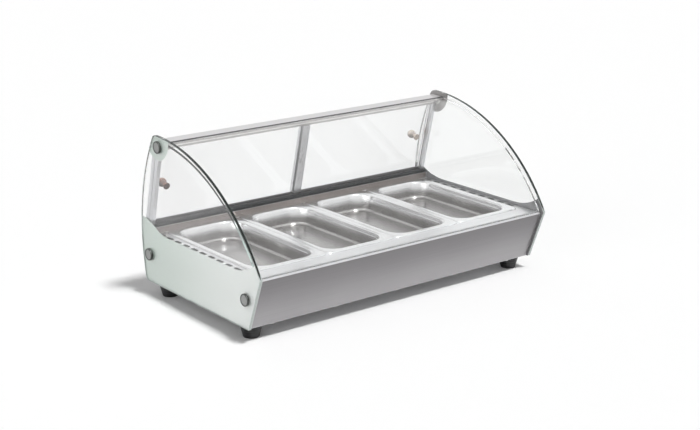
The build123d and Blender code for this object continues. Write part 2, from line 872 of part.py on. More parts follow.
with BuildPart() as glass_nuts:
    for side in (-1, 1):
        with BuildSketch(Plane.YZ.offset(side * (half - sheet))):
            with Locations(*low_buttons):
                RegularPolygon(glass_nut_radius, 6)
                Circle(stud_radius + fit_clearance, mode=Mode.SUBTRACT)
        extrude(amount=-side * glass_nut_t)
glass_nuts.part.label = "glass_nuts"
export_step(glass_nuts.part, "parts/glass_nuts.step")

# Front glass, bent to an arc, between the sill channel and the gasket of the top rail
glass_radius = front_radius - front_glass_inset
inner_radius = glass_radius - front_glass_t
sill_glass_z = deck_height + sill_channel_base


def bent_strip(low, high, first_y, last_y, bottom_z):
    """Profile between two radii of the front arc, from depth first_y to last_y, above bottom_z."""
    with BuildSketch() as strip:
        with Locations((arc_y, arc_z)):
            Circle(high)
            Circle(low, mode=Mode.SUBTRACT)
        with Locations(((first_y + last_y) / 2, bottom_z + high)):
            Rectangle(last_y - first_y, 2 * high, mode=Mode.INTERSECT)
    return strip.sketch


glass_length = 2 * (glass_in - front_glass_end_gap)
with BuildPart() as front_glass:
    with BuildSketch(Plane.YZ.offset(-glass_length / 2)):
        add(bent_strip(inner_radius, glass_radius, kink_y, glass_top_y, sill_glass_z))
    extrude(amount=glass_length)
front_glass.part.label = "front_glass"
export_step(front_glass.part, "parts/front_glass.step")

gasket_end_y = glass_top_y + gasket_t
with BuildPart() as rail_gasket:
    with BuildSketch(Plane.YZ.offset(-glass_length / 2)):
        add(bent_strip(inner_radius, glass_radius, glass_top_y, gasket_end_y, deck_height))
    extrude(amount=glass_length)
rail_gasket.part.label = "rail_gasket"
export_step(rail_gasket.part, "parts/rail_gasket.step")


def front_arc_y(z, radius):
    """Depth of the front arc of this radius at height z."""
    return arc_y - sqrt(radius**2 - (z - arc_z) ** 2)


lip_top = deck_height + sill_channel_height
groove_front_y = front_arc_y(sill_glass_z, glass_radius) - rail_glass_clearance
groove_rear_y = front_arc_y(lip_top, inner_radius) + rail_glass_clearance
with BuildPart() as sill_channel:
    with BuildSketch(Plane.YZ.offset(-half)):
        with BuildLine():
            Polyline(
                (groove_front_y - sill_channel_lip, deck_height),
                (groove_rear_y + sill_channel_lip, deck_height),
                (groove_rear_y + sill_channel_lip, lip_top),
                (groove_rear_y, lip_top),
                (groove_rear_y, sill_glass_z),
                (groove_front_y, sill_glass_z),
                (groove_front_y, lip_top),
                (groove_front_y - sill_channel_lip, lip_top),
                close=True,
            )
        make_face()
    extrude(amount=body_width)
sill_channel.part.label = "sill_channel"
export_step(sill_channel.part, "parts/sill_channel.step")

# Top rail: an extrusion that carries the glass's top edge, the lamp and the doors' upper track
lip_radius = inner_radius - rail_glass_clearance
lip_y = gasket_end_y - rail_lip_reach - gasket_t
crown_y = glass_top_y + rail_top_flat
nose = door_yz(rail_nose_w, rail_bottom_v)
lip_z = arc_at(lip_y, lip_radius)
lip_foot = (lip_y, lip_z - rail_wall)
face_length = sqrt((nose[0] - lip_foot[0]) ** 2 + (nose[1] - lip_foot[1]) ** 2)
face_dir = ((nose[0] - lip_foot[0]) / face_length, (nose[1] - lip_foot[1]) / face_length)


def lamp_yz(along, deep):
    """Point of the lamp pocket: along the rail's sloping underside from the lip, and deep into it."""
    return (
        lip_foot[0] + along * face_dir[0] - deep * face_dir[1],
        lip_foot[1] + along * face_dir[1] + deep * face_dir[0],
    )


def band(place, first, last, low, high):
    """Corners of a straight band in a leaning frame given by the function place."""
    return [place(first, low), place(last, low), place(last, high), place(first, high)]


pocket_front_w = inner_door_w - groove_clearance - track_wall
pocket_rear_w = outer_door_w + door_glass_t + groove_clearance + track_wall
pocket_top_v = rail_bottom_v + upper_groove_depth
lamp_end = lamp_from_lip + lamp_width
chamber_top = [(y, arc_at(y, glass_radius - rail_wall)) for y in (chamber_front_y, crown_y)]
chamber_floor = [(y, z - chamber_height) for y, z in reversed(chamber_top)]
with BuildPart() as top_rail:
    with BuildSketch(Plane.YZ.offset(-half)):
        with BuildLine():
            crown = (crown_y, arc_at(crown_y, glass_radius))
            edge = (gasket_end_y, arc_at(gasket_end_y, glass_radius))
            lip_end = (gasket_end_y, arc_at(gasket_end_y, lip_radius))
            lip_tip = (lip_y, lip_z)
            arc_between(arc_y, arc_z, glass_radius, edge, crown)
            Polyline(
                crown,
                door_yz(rail_depth, rail_rear_v),
                door_yz(rail_depth, rail_bottom_v),
                nose,
                lip_foot,
                lip_tip,
            )
            arc_between(arc_y, arc_z, lip_radius, lip_tip, lip_end)
            Line(lip_end, edge)
        make_face()
        with BuildLine():
            Polyline(*band(door_yz, pocket_front_w, pocket_rear_w, rail_bottom_v, pocket_top_v), close=True)
        make_face(mode=Mode.SUBTRACT)
        with BuildLine():
            Polyline(*band(lamp_yz, lamp_from_lip, lamp_end, 0, lamp_pocket_depth), close=True)
        make_face(mode=Mode.SUBTRACT)
        with BuildLine():
            Polyline(*chamber_top, *chamber_floor, close=True)
        make_face(mode=Mode.SUBTRACT)
        with Locations((top_button_y, top_button_z)):
            Circle(stud_radius + fit_clearance, mode=Mode.SUBTRACT)
    extrude(amount=body_width)
top_rail.part.label = "top_rail"
export_step(top_rail.part, "parts/top_rail.step")

# Lamp: a strip of small lights at the bottom of its pocket, behind a milky cover
lamp_length = body_width - 2 * lamp_end_gap
board_low = lamp_pocket_depth - lamp_board_t
led_front = (lamp_from_lip + lamp_end - led_size) / 2
led_rear = led_front + led_size
led_count = int(lamp_length // led_pitch)
with BuildPart() as lamp_board:
    with BuildSketch(Plane.YZ.offset(-lamp_length / 2)):
        with BuildLine():
            Polyline(*band(lamp_yz, lamp_from_lip, lamp_end, board_low, lamp_pocket_depth), close=True)
        make_face()
    extrude(amount=lamp_length)
    for i in range(led_count):
        led_x = (i - (led_count - 1) / 2) * led_pitch - led_size / 2
        with BuildSketch(Plane.YZ.offset(led_x)):
            with BuildLine():
                Polyline(*band(lamp_yz, led_front, led_rear, board_low - led_t, board_low), close=True)
            make_face()
        extrude(amount=led_size)
lamp_board.part.label = "lamp_board"
export_step(lamp_board.part, "parts/lamp_board.step")

with BuildPart() as lamp_cover:
    with BuildSketch(Plane.YZ.offset(-lamp_length / 2)):
        with BuildLine():
            Polyline(*band(lamp_yz, lamp_from_lip, lamp_end, 0, lamp_cover_t), close=True)
        make_face()
    extrude(amount=lamp_length)
lamp_cover.part.label = "lamp_cover"
export_step(lamp_cover.part, "parts/lamp_cover.step")

# Upper track: a two-groove insert pressed into the rail
door_ws = (inner_door_w, outer_door_w)
grooves = [(w - groove_clearance, w + door_glass_t + groove_clearance) for w in door_ws]
with BuildPart() as upper_track:
    with BuildSketch(Plane.YZ.offset(-half)):
        with BuildLine():
            Polyline(*band(door_yz, pocket_front_w, pocket_rear_w, rail_bottom_v, pocket_top_v), close=True)
        make_face()
        for first, last in grooves:
            with BuildLine():
                Polyline(*band(door_yz, first, last, rail_bottom_v, pocket_top_v - track_wall), close=True)
            make_face(mode=Mode.SUBTRACT)
    extrude(amount=body_width)
upper_track.part.label = "upper_track"
export_step(upper_track.part, "parts/upper_track.step")


def door_at(w, z):
    """Point of the leaning door frame, w behind its front plane, at height z."""
    return door_yz(w, (z - shelf_z - w * sin(lean)) / cos(lean))


# Black strip on the shelf, in front of the doors, with one thin line let into its top
track_top = shelf_z + track_height
groove_floor = shelf_z + track_base
track_x = half - post_web
light_line_y = door_at(0, track_top)[0] - light_line_width
strip_front_y = upstand_y + track_front_gap
strip_rear_y = strip_front_y + strip_depth
with BuildPart() as track_strip:
    with BuildSketch(Plane.YZ.offset(-track_x)):
        with Locations(((strip_front_y + strip_rear_y) / 2, (shelf_z + track_top) / 2)):
            Rectangle(strip_depth, track_height)
        with Locations((light_line_y, track_top - light_line_depth / 2)):
            Rectangle(light_line_width, light_line_depth, mode=Mode.SUBTRACT)
    extrude(amount=2 * track_x)
track_strip.part.label = "track_strip"
export_step(track_strip.part, "parts/track_strip.step")

# Lower track behind the strip, with its grooves leaning as the doors do
with BuildPart() as lower_track:
    with BuildSketch(Plane.YZ.offset(-track_x)):
        with BuildLine():
            Polyline(
                (strip_rear_y, shelf_z),
                (shelf_rear_y - track_rear_gap, shelf_z),
                (shelf_rear_y - track_rear_gap, track_top),
                (strip_rear_y, track_top),
                close=True,
            )
        make_face()
        for first, last in grooves:
            with BuildLine():
                Polyline(*band(door_at, first, last, groove_floor, track_top), close=True)
            make_face(mode=Mode.SUBTRACT)
    extrude(amount=2 * track_x)
lower_track.part.label = "lower_track"
export_step(lower_track.part, "parts/lower_track.step")

# Posts: a web beside the side glass, grooved on its outer face, and a lip in front of the doors,
# from the shelf to the rail
post_rear_w = post_front_w + post_depth
lip_rear_w = post_front_w + post_lip_t
groove_first_w = post_front_w + post_groove_from_front
groove_last_w = groove_first_w + post_groove_width
with BuildPart() as posts:
    for side in (-1, 1):
        with BuildSketch(Plane.YZ.offset(side * half)):
            with BuildLine():
                Polyline(
                    door_at(post_front_w, shelf_z),
                    door_at(post_rear_w, shelf_z),
                    door_yz(post_rear_w, rail_bottom_v),
                    door_yz(post_front_w, rail_bottom_v),
                    close=True,
                )
            make_face()
        extrude(amount=-side * post_web)
        with BuildSketch(Plane.YZ.offset(side * half)):
            with BuildLine():
                Polyline(
                    door_at(groove_first_w, shelf_z),
                    door_at(groove_last_w, shelf_z),
                    door_yz(groove_last_w, rail_bottom_v),
                    door_yz(groove_first_w, rail_bottom_v),
                    close=True,
                )
            make_face()
        extrude(amount=-side * post_groove_depth, mode=Mode.SUBTRACT)
        with BuildSketch(Plane.YZ.offset(side * track_x)):
            with BuildLine():
                Polyline(
                    door_at(post_front_w, track_top),
                    door_at(lip_rear_w, track_top),
                    door_yz(lip_rear_w, rail_bottom_v),
                    door_yz(post_front_w, rail_bottom_v),
                    close=True,
                )
            make_face()
        extrude(amount=-side * (post_lip - post_web))
posts.part.label = "posts"
export_step(posts.part, "parts/posts.step")

# Sliding doors: a glass pane each, an edge channel where they meet, a knob, and two nylon glides.
# The left door runs in the inner grooves and the right one in the outer grooves.
stile_half = stile_width / 2
edge_x = half - post_web - door_side_gap
knob_x = edge_x - knob_from_edge
door_bottom_z = groove_floor + door_floor_gap
sides = {"left": (-1, inner_door_w), "right": (1, outer_door_w)}
for name, (side, front_w) in sides.items():
    rear_w = front_w + door_glass_t
    bottom_v = (door_bottom_z - shelf_z - front_w * sin(lean)) / cos(lean)
    meeting_x = -side * (stile_half - stile_seat)
    pane_left, pane_right = sorted((side * edge_x, meeting_x))
    with BuildPart() as door_glass:
        with BuildSketch(door_plane(front_w)):
            with Locations(((pane_left + pane_right) / 2, (bottom_v + door_top_v) / 2)):
                Rectangle(pane_right - pane_left, door_top_v - bottom_v)
            with Locations((side * knob_x, knob_rise)):
                Circle(knob_bolt_radius + knob_hole_clearance, mode=Mode.SUBTRACT)
        extrude(amount=-door_glass_t)
    door_glass.part.label = f"door_{name}_glass"
    export_step(door_glass.part, f"parts/door_{name}_glass.step")

    low_v = stile_end_gap
    high_v = rail_bottom_v - stile_top_gap
    web_x = -side * (stile_half + stile_t / 2)
    plates_left, plates_right = sorted((side * stile_half, -side * (stile_half + stile_t)))
    with BuildPart() as door_stile:
        with BuildSketch(door_plane(front_w - stile_glass_gap - stile_t)):
            with Locations(((plates_left + plates_right) / 2, (low_v + high_v) / 2)):
                Rectangle(plates_right - plates_left, high_v - low_v)
        extrude(amount=-(door_glass_t + 2 * stile_glass_gap + 2 * stile_t))
        slot_left, slot_right = sorted((side * (stile_half + stile_t), -side * stile_half))
        with BuildSketch(door_plane(front_w - stile_glass_gap)):
            with Locations(((slot_left + slot_right) / 2, (low_v + high_v) / 2)):
                Rectangle(slot_right - slot_left, high_v - low_v)
        extrude(amount=-(door_glass_t + 2 * stile_glass_gap), mode=Mode.SUBTRACT)
    door_stile.part.label = f"door_{name}_stile"
    export_step(door_stile.part, f"parts/door_{name}_stile.step")

    ball_w = rear_w + knob_stem_length + knob_ball_offset
    bore_w = ball_w - knob_ball_offset + knob_bolt_reach
    with BuildPart() as handle:
        with BuildSketch(door_plane(rear_w)):
            with Locations((side * knob_x, knob_rise)):
                Circle(knob_stem_radius)
        extrude(amount=-(ball_w - rear_w))
        with Locations(Location(door_plane(ball_w)) * Location((side * knob_x, knob_rise, 0))):
            Sphere(knob_ball_radius)
        with BuildSketch(door_plane(rear_w)):
            with Locations((side * knob_x, knob_rise)):
                Circle(knob_bolt_radius + fit_clearance)
        extrude(amount=-(bore_w - rear_w), mode=Mode.SUBTRACT)
    with BuildPart() as bolt:
        with BuildSketch(door_plane(front_w - knob_disc_t)):
            with Locations((side * knob_x, knob_rise)):
                Circle(knob_disc_radius)
        extrude(amount=-knob_disc_t)
        with BuildSketch(door_plane(front_w)):
            with Locations((side * knob_x, knob_rise)):
                Circle(knob_bolt_radius)
        extrude(amount=-(bore_w - front_w - knob_hole_clearance))
    with BuildPart() as door_knob:
        add(handle.part)
        add(bolt.part)
    door_knob.part.label = f"door_{name}_knob"
    export_step(door_knob.part, f"parts/door_{name}_knob.step")

    with BuildPart() as door_glides:
        glide_ends = (pane_left, pane_right - glide_length)
        for glide_x in glide_ends:
            with BuildSketch(Plane.YZ.offset(glide_x)):
                with BuildLine():
                    Polyline(
                        door_at(front_w, groove_floor + fit_clearance),
                        door_at(rear_w, groove_floor + fit_clearance),
                        door_yz(rear_w, bottom_v),
                        door_yz(front_w, bottom_v),
                        close=True,
                    )
                make_face()
            extrude(amount=glide_length)
    door_glides.part.label = f"door_{name}_glides"
    export_step(door_glides.part, f"parts/door_{name}_glides.step")

door_travel = knob_x - stile_half - stile_t - knob_ball_radius - door_stop_clearance
print("door travel", door_travel)


def turned(points, centre, angle):
    """Points of the YZ plane turned about a centre, from Y towards Z, by an angle in degrees."""
    c, d = cos(radians(angle)), sin(radians(angle))
    moved = []
    for y, z in points:
        dy, dz = y - centre[0], z - centre[1]
        moved.append((centre[0] + dy * c - dz * d, centre[1] + dy * d + dz * c))
    return moved


# Two rocker switches: a bezelled housing each, and a rocker on its own two pins, resting at off
inner_w = switch_width - 2 * switch_wall
inner_h = switch_height - 2 * switch_wall
rocker_width = inner_w - 2 * rocker_gap
pivot = (rear_y - pivot_depth, control_height)
rocker_profile = [
    (rocker_proud, rocker_half),
    (rocker_dish, 0),
    (rocker_proud, -rocker_half),
    (rocker_shoulder, -rocker_half),
    (-rocker_root, -rocker_root_half),
    (-rocker_root, rocker_root_half),
    (rocker_shoulder, rocker_half),
]
rocker_points = [(pivot[0] + w, pivot[1] + u) for w, u in rocker_profile]
for name, place_x in switch_places.items():
    with BuildPart() as housing:
        with BuildSketch(upright(rear_y)):
            with Locations((place_x, control_height)):
                RectangleRounded(
                    switch_width + 2 * switch_bezel, switch_height + 2 * switch_bezel, switch_bezel
                )
        extrude(amount=-switch_bezel)
        with BuildSketch(upright(rear_y)):
            with Locations((place_x, control_height)):
                Rectangle(switch_width, switch_height)
        extrude(amount=switch_depth)
        with BuildSketch(upright(rear_y + switch_bezel)):
            with Locations((place_x, control_height)):
                Rectangle(inner_w, inner_h)
        extrude(amount=switch_bezel + switch_depth - switch_wall, mode=Mode.SUBTRACT)
        with BuildSketch(Plane.YZ.offset(place_x - switch_width / 2)):
            with Locations(pivot):
                Circle(rocker_pin_radius + fit_clearance)
        extrude(amount=switch_width, mode=Mode.SUBTRACT)
        with BuildSketch(upright(rear_y - switch_depth)):
            with Locations((place_x, control_height)):
                with GridLocations(0, tab_pitch, 1, 2):
                    Rectangle(tab_width, tab_t)
        extrude(amount=tab_length)
    housing.part.label = f"{name}_switch_housing"
    export_step(housing.part, f"parts/{name}_switch_housing.step")

    with BuildPart() as rocker:
        with BuildSketch(Plane.YZ.offset(place_x - rocker_width / 2)):
            with BuildLine():
                Polyline(*turned(rocker_points, pivot, -rocker_tilt), close=True)
            make_face()
        extrude(amount=rocker_width)
        with BuildSketch(Plane.YZ.offset(place_x - rocker_width / 2 - rocker_pin_reach)):
            with Locations(pivot):
                Circle(rocker_pin_radius)
        extrude(amount=rocker_width + 2 * rocker_pin_reach)
    rocker.part.label = f"{name}_rocker"
    export_step(rocker.part, f"parts/{name}_rocker.step")

# Thermostat: body with a threaded neck through the panel, its nut, the shaft and the knob
body_y = rear_y - sheet
neck_end_y = rear_y + nut_t + neck_proud
thermostat_at = (thermostat_x, control_height)
shaft_floor_y = body_y - shaft_depth
knob_base_y = rear_y + knob_gap
knob_top_y = knob_base_y + knob_height
shaft_end_y = knob_top_y - knob_crown
recess_end_y = neck_end_y + knob_gap
with BuildPart() as thermostat_body:
    with BuildSketch(upright(body_y - thermostat_depth)):
        with Locations(thermostat_at):
            RectangleRounded(thermostat_size, thermostat_size, thermostat_round)
    extrude(amount=-thermostat_depth)
    with BuildSketch(upright(body_y)):
        with Locations(thermostat_at):
            Circle(neck_radius)
    extrude(amount=-(neck_end_y - body_y))
    with BuildSketch(upright(shaft_floor_y)):
        with Locations(thermostat_at):
            Circle(shaft_radius + fit_clearance)
    extrude(amount=-(neck_end_y - shaft_floor_y), mode=Mode.SUBTRACT)
thermostat_body.part.label = "thermostat_body"
export_step(thermostat_body.part, "parts/thermostat_body.step")

with BuildPart() as thermostat_nut:
    with BuildSketch(upright(rear_y)):
        with Locations(thermostat_at):
            RegularPolygon(neck_nut_radius, 6)
            Circle(neck_radius + fit_clearance, mode=Mode.SUBTRACT)
    extrude(amount=-nut_t)
thermostat_nut.part.label = "thermostat_nut"
export_step(thermostat_nut.part, "parts/thermostat_nut.step")

flat_z = control_height + shaft_radius - shaft_flat
with BuildPart() as thermostat_shaft:
    with BuildSketch(upright(shaft_floor_y + knob_gap)):
        with Locations(thermostat_at):
            Circle(shaft_radius)
    extrude(amount=-(shaft_end_y - shaft_floor_y - knob_gap))
    with BuildSketch(upright(neck_end_y + knob_gap)):
        with Locations((thermostat_x, flat_z + shaft_radius / 2)):
            Rectangle(2 * shaft_radius, shaft_radius)
    extrude(amount=-(shaft_end_y - neck_end_y - knob_gap), mode=Mode.SUBTRACT)
thermostat_shaft.part.label = "thermostat_shaft"
export_step(thermostat_shaft.part, "parts/thermostat_shaft.step")

with BuildPart() as thermostat_knob:
    with BuildSketch(upright(knob_base_y)):
        with Locations(thermostat_at):
            Circle(knob_radius)
    extrude(amount=-knob_height, taper=knob_taper)
    fillet(thermostat_knob.faces().sort_by(Axis.Y)[-1].edges(), knob_round)
    with BuildSketch(upright(knob_base_y)):
        with Locations(thermostat_at):
            with PolarLocations(knob_radius + groove_radius - groove_depth, knob_grip_count):
                Circle(groove_radius)
    extrude(amount=-(knob_height - groove_stop), mode=Mode.SUBTRACT)
    with BuildSketch(upright(knob_base_y)):
        with Locations(thermostat_at):
            Circle(neck_nut_radius + knob_gap)
    extrude(amount=-(recess_end_y - knob_base_y), mode=Mode.SUBTRACT)
    with BuildSketch(upright(recess_end_y)):
        with Locations(thermostat_at):
            Circle(shaft_radius + fit_clearance)
        with Locations((thermostat_x, flat_z + fit_clearance + shaft_radius)):
            Rectangle(4 * shaft_radius, 2 * shaft_radius, mode=Mode.SUBTRACT)
    extrude(amount=-(shaft_end_y + fit_clearance - recess_end_y), mode=Mode.SUBTRACT)
    pointer_mid = control_height + knob_radius - pointer_from_rim - pointer_length / 2
    with BuildSketch(upright(knob_top_y)):
        with Locations((thermostat_x, pointer_mid)):
            Rectangle(pointer_width, pointer_length)
    extrude(amount=pointer_depth, mode=Mode.SUBTRACT)
thermostat_knob.part.label = "thermostat_knob"
export_step(thermostat_knob.part, "parts/thermostat_knob.step")

# Sensor bulb on the back of the well, with its capillary to the thermostat
bulb_y = liner_rear_y + well_wall + bulb_radius
capillary_x = thermostat_x + capillary_inset
with BuildPart() as sensor_bulb:
    with BuildSketch(Plane.YZ.offset(bulb_x - bulb_length / 2)):
        with Locations((bulb_y, bulb_z)):
            Circle(bulb_radius)
    extrude(amount=bulb_length)
    bulb_end = (bulb_x - bulb_length / 2, bulb_y, bulb_z)
    with BuildLine():
        capillary = FilletPolyline(
            bulb_end,
            (capillary_x, bulb_y, bulb_z),
            (capillary_x, body_y - thermostat_depth, bulb_z),
            radius=capillary_bend,
        )
    with BuildSketch(Plane(origin=bulb_end, z_dir=(-1, 0, 0))):
        Circle(capillary_radius)
    sweep(path=capillary)
sensor_bulb.part.label = "sensor_bulb"
export_step(sensor_bulb.part, "parts/sensor_bulb.step")

# Pilot lamp and thermometer
with BuildPart() as pilot_lamp:
    with BuildSketch(upright(rear_y)):
        with Locations((pilot_x, control_height)):
            Circle(pilot_radius + bezel_reach)
    extrude(amount=-pilot_rim_t)
    with BuildSketch(upright(rear_y - pilot_length)):
        with Locations((pilot_x, control_height)):
            Circle(pilot_radius)
    extrude(amount=-(pilot_length + pilot_rim_t + pilot_proud))
    fillet(pilot_lamp.faces().sort_by(Axis.Y)[-1].edges(), pilot_round)
pilot_lamp.part.label = "pilot_lamp"
export_step(pilot_lamp.part, "parts/pilot_lamp.step")

window_floor_y = rear_y + switch_bezel - window_t
with BuildPart() as thermometer_body:
    with BuildSketch(upright(rear_y)):
        with Locations((thermometer_x, control_height)):
            RectangleRounded(thermometer_width, thermometer_height, bezel_reach)
    extrude(amount=-switch_bezel)
    with BuildSketch(upright(rear_y)):
        with Locations((thermometer_x, control_height)):
            Rectangle(thermometer_width - 2 * bezel_reach, thermometer_height - 2 * bezel_reach)
    extrude(amount=thermometer_depth)
    with BuildSketch(upright(rear_y + switch_bezel)):
        with Locations((thermometer_x, control_height)):
            Rectangle(window_width, window_height)
    extrude(amount=window_t, mode=Mode.SUBTRACT)
thermometer_body.part.label = "thermometer_body"
export_step(thermometer_body.part, "parts/thermometer_body.step")

with BuildPart() as thermometer_window:
    with BuildSketch(upright(window_floor_y)):
        with Locations((thermometer_x, control_height)):
            Rectangle(window_width - 2 * fit_clearance, window_height - 2 * fit_clearance)
    extrude(amount=-window_t)
thermometer_window.part.label = "thermometer_window"
export_step(thermometer_window.part, "parts/thermometer_window.step")

# Mains inlet: flanged socket housing, and its three flat pins with their solder tabs inside
pin_places = [(inlet_x, inlet_z + pin_rise), (inlet_x - pin_side, inlet_z), (inlet_x + pin_side, inlet_z)]
inlet_floor_y = rear_y - inlet_depth + inlet_wall
cavity_w = inlet_width / 2 - inlet_wall
cavity_h = inlet_height / 2 - inlet_wall
with BuildPart() as inlet_housing:
    with BuildSketch(upright(rear_y)):
        with Locations((inlet_x, inlet_z)):
            RectangleRounded(inlet_screw_pitch + inlet_ear, inlet_height + 2 * inlet_wall, inlet_wall)
        with Locations(*inlet_screws):
            Circle(screw_radius + fit_clearance, mode=Mode.SUBTRACT)
    extrude(amount=-inlet_flange_t)
    with BuildSketch(upright(rear_y)):
        with Locations((inlet_x, inlet_z)):
            Rectangle(inlet_width, inlet_height)
    extrude(amount=inlet_depth)
    with BuildSketch(upright(rear_y + inlet_flange_t)):
        with BuildLine():
            Polyline(
                (inlet_x - cavity_w, inlet_z + cavity_h),
                (inlet_x + cavity_w, inlet_z + cavity_h),
                (inlet_x + cavity_w, inlet_z - cavity_h + inlet_corner),
                (inlet_x + cavity_w - inlet_corner, inlet_z - cavity_h),
                (inlet_x - cavity_w + inlet_corner, inlet_z - cavity_h),
                (inlet_x - cavity_w, inlet_z - cavity_h + inlet_corner),
                close=True,
            )
        make_face()
    extrude(amount=inlet_flange_t + inlet_depth - inlet_wall, mode=Mode.SUBTRACT)
    with BuildSketch(upright(inlet_floor_y)):
        with Locations(*pin_places):
            Rectangle(pin_t + 2 * fit_clearance, pin_width + 2 * fit_clearance)
    extrude(amount=inlet_wall, mode=Mode.SUBTRACT)
inlet_housing.part.label = "inlet_housing"
export_step(inlet_housing.part, "parts/inlet_housing.step")

with BuildPart() as inlet_pins:
    with BuildSketch(upright(rear_y - pin_setback)):
        with Locations(*pin_places):
            Rectangle(pin_t, pin_width)
    extrude(amount=inlet_depth - pin_setback + tab_length)
inlet_pins.part.label = "inlet_pins"
export_step(inlet_pins.part, "parts/inlet_pins.step")

# Terminal block and earth stud on the base plate, behind the well
with BuildPart() as terminal_block:
    with BuildSketch(Plane.XY.offset(base_top)):
        with Locations((terminal_x, terminal_y)):
            Rectangle(terminal_count * terminal_pitch, terminal_length)
    extrude(amount=terminal_height)
    with BuildSketch(Plane.XY.offset(base_top + terminal_height)):
        with Locations((terminal_x, terminal_y)):
            with GridLocations(terminal_pitch, terminal_length / 2, terminal_count, 2):
                Circle(terminal_hole_radius)
    extrude(amount=-terminal_height / 2, mode=Mode.SUBTRACT)
terminal_block.part.label = "terminal_block"
export_step(terminal_block.part, "parts/terminal_block.step")

with BuildPart() as earth_stud:
    with BuildSketch(Plane.XY.offset(base_top)):
        with Locations((earth_x, terminal_y)):
            Circle(foot_screw_radius)
    extrude(amount=earth_height)
    with BuildSketch(Plane.XY.offset(base_top)):
        with Locations((earth_x, terminal_y)):
            RegularPolygon(foot_nut_radius, 6)
    extrude(amount=foot_nut_t)
earth_stud.part.label = "earth_stud"
export_step(earth_stud.part, "parts/earth_stud.step")
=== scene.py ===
# %% [markdown]
# A heated display case for a shop counter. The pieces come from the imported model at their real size,
# in metres, with +X across the front, +Y towards the serving side and +Z up.
# This file gives each of them its finish and adds the fine forms that a bent sheet, a pressed pan
# or a polished pane has on the real case.

# %% Load the frame
import json
from math import cos, pi, radians, sin

import bmesh
import bpy
from mathutils import Matrix, Vector


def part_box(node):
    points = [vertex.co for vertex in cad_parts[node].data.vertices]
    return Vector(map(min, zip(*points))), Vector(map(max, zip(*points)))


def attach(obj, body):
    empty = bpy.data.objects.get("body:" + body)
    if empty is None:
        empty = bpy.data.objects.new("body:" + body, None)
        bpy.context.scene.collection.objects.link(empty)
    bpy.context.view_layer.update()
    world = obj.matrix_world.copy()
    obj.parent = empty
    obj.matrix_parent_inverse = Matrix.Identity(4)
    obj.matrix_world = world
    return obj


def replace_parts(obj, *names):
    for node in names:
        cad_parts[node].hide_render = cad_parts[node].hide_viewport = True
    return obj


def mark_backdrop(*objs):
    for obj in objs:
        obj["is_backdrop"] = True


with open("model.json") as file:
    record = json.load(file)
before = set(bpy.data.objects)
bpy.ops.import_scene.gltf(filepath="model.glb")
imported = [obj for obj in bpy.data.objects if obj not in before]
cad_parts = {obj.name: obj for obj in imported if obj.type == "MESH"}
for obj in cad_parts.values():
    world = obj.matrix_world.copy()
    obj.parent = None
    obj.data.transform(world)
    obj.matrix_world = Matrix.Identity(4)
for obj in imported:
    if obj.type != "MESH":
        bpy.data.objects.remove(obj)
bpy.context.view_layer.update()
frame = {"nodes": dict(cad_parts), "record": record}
nodes = frame["nodes"]
MM = 0.001
print("pieces in the frame:", len(nodes))

# %% [markdown]
# The camera comes first, so that every later choice can be judged in the view that matters.
# Its place is given as an azimuth, an elevation and a distance from a point inside the case.
# A camera here looks along its own -Z, so its matrix has the directions right, up and back
# as columns. That is easier to control than rotation angles when there is a little roll.

# %% Camera
VIEW_AZIMUTH = radians(-38.513)
VIEW_ELEVATION = radians(16.556)
VIEW_ROLL = radians(0.298)
VIEW_DISTANCE = 3.08167
VIEW_TARGET = Vector((-0.00051, -0.00804, 0.15407))
LENS = 73.486
SENSOR = 36.0
CLIP_END = 50.0


def add_camera():
    """Camera at the photograph's viewing angle."""
    right = Vector((cos(VIEW_AZIMUTH), sin(VIEW_AZIMUTH), 0))
    back = Vector((
        sin(VIEW_AZIMUTH) * cos(VIEW_ELEVATION),
        -cos(VIEW_AZIMUTH) * cos(VIEW_ELEVATION),
        sin(VIEW_ELEVATION),
    ))
    up = back.cross(right)
    rolled_right = right * cos(VIEW_ROLL) + up * sin(VIEW_ROLL)
    rolled_up = up * cos(VIEW_ROLL) - right * sin(VIEW_ROLL)
    data = bpy.data.cameras.new("camera")
    data.lens = LENS
    data.sensor_width = SENSOR
    data.sensor_fit = "HORIZONTAL"
    data.clip_end = CLIP_END
    camera = bpy.data.objects.new("camera", data)
    turn = Matrix((rolled_right, rolled_up, back)).transposed().to_4x4()
    camera.matrix_world = Matrix.Translation(VIEW_TARGET + VIEW_DISTANCE * back) @ turn
    bpy.context.scene.collection.objects.link(camera)
    bpy.context.scene.camera = camera
    return camera


print("camera at", [round(v, 3) for v in add_camera().matrix_world.translation])

# %% [markdown]
# Materials are built from nodes. A few short helpers keep that readable. The first adds a node, sets
# its inputs and links what is handed to it: a value that is a socket gets linked, and any other
# value is written on the input itself. The next two use it for arithmetic and for splitting a vector.

# %% Node helpers
def put(tree, kind, inputs=None, **settings):
    """Add a node, set its properties, and link or set its inputs by name or number."""
    node = tree.nodes.new("ShaderNode" + kind)
    for name, value in settings.items():
        setattr(node, name, value)
    for name, value in (inputs or {}).items():
        if isinstance(value, bpy.types.NodeSocket):
            tree.links.new(value, node.inputs[name])
        else:
            node.inputs[name].default_value = value
    return node


def calc(tree, how, *values, **settings):
    """Result of a Math node for these numbers or sockets."""
    return put(tree, "Math", dict(enumerate(values)), operation=how, **settings).outputs[0]


def split(tree, vector):
    """X, Y and Z of a vector."""
    return put(tree, "SeparateXYZ", {0: vector}).outputs


def own_place(tree):
    """Where a point lies on its own piece, in metres; it stays the same when the piece moves."""
    return put(tree, "TexCoord").outputs["Object"]


print("node helpers:", put.__name__, calc.__name__, split.__name__, own_place.__name__)

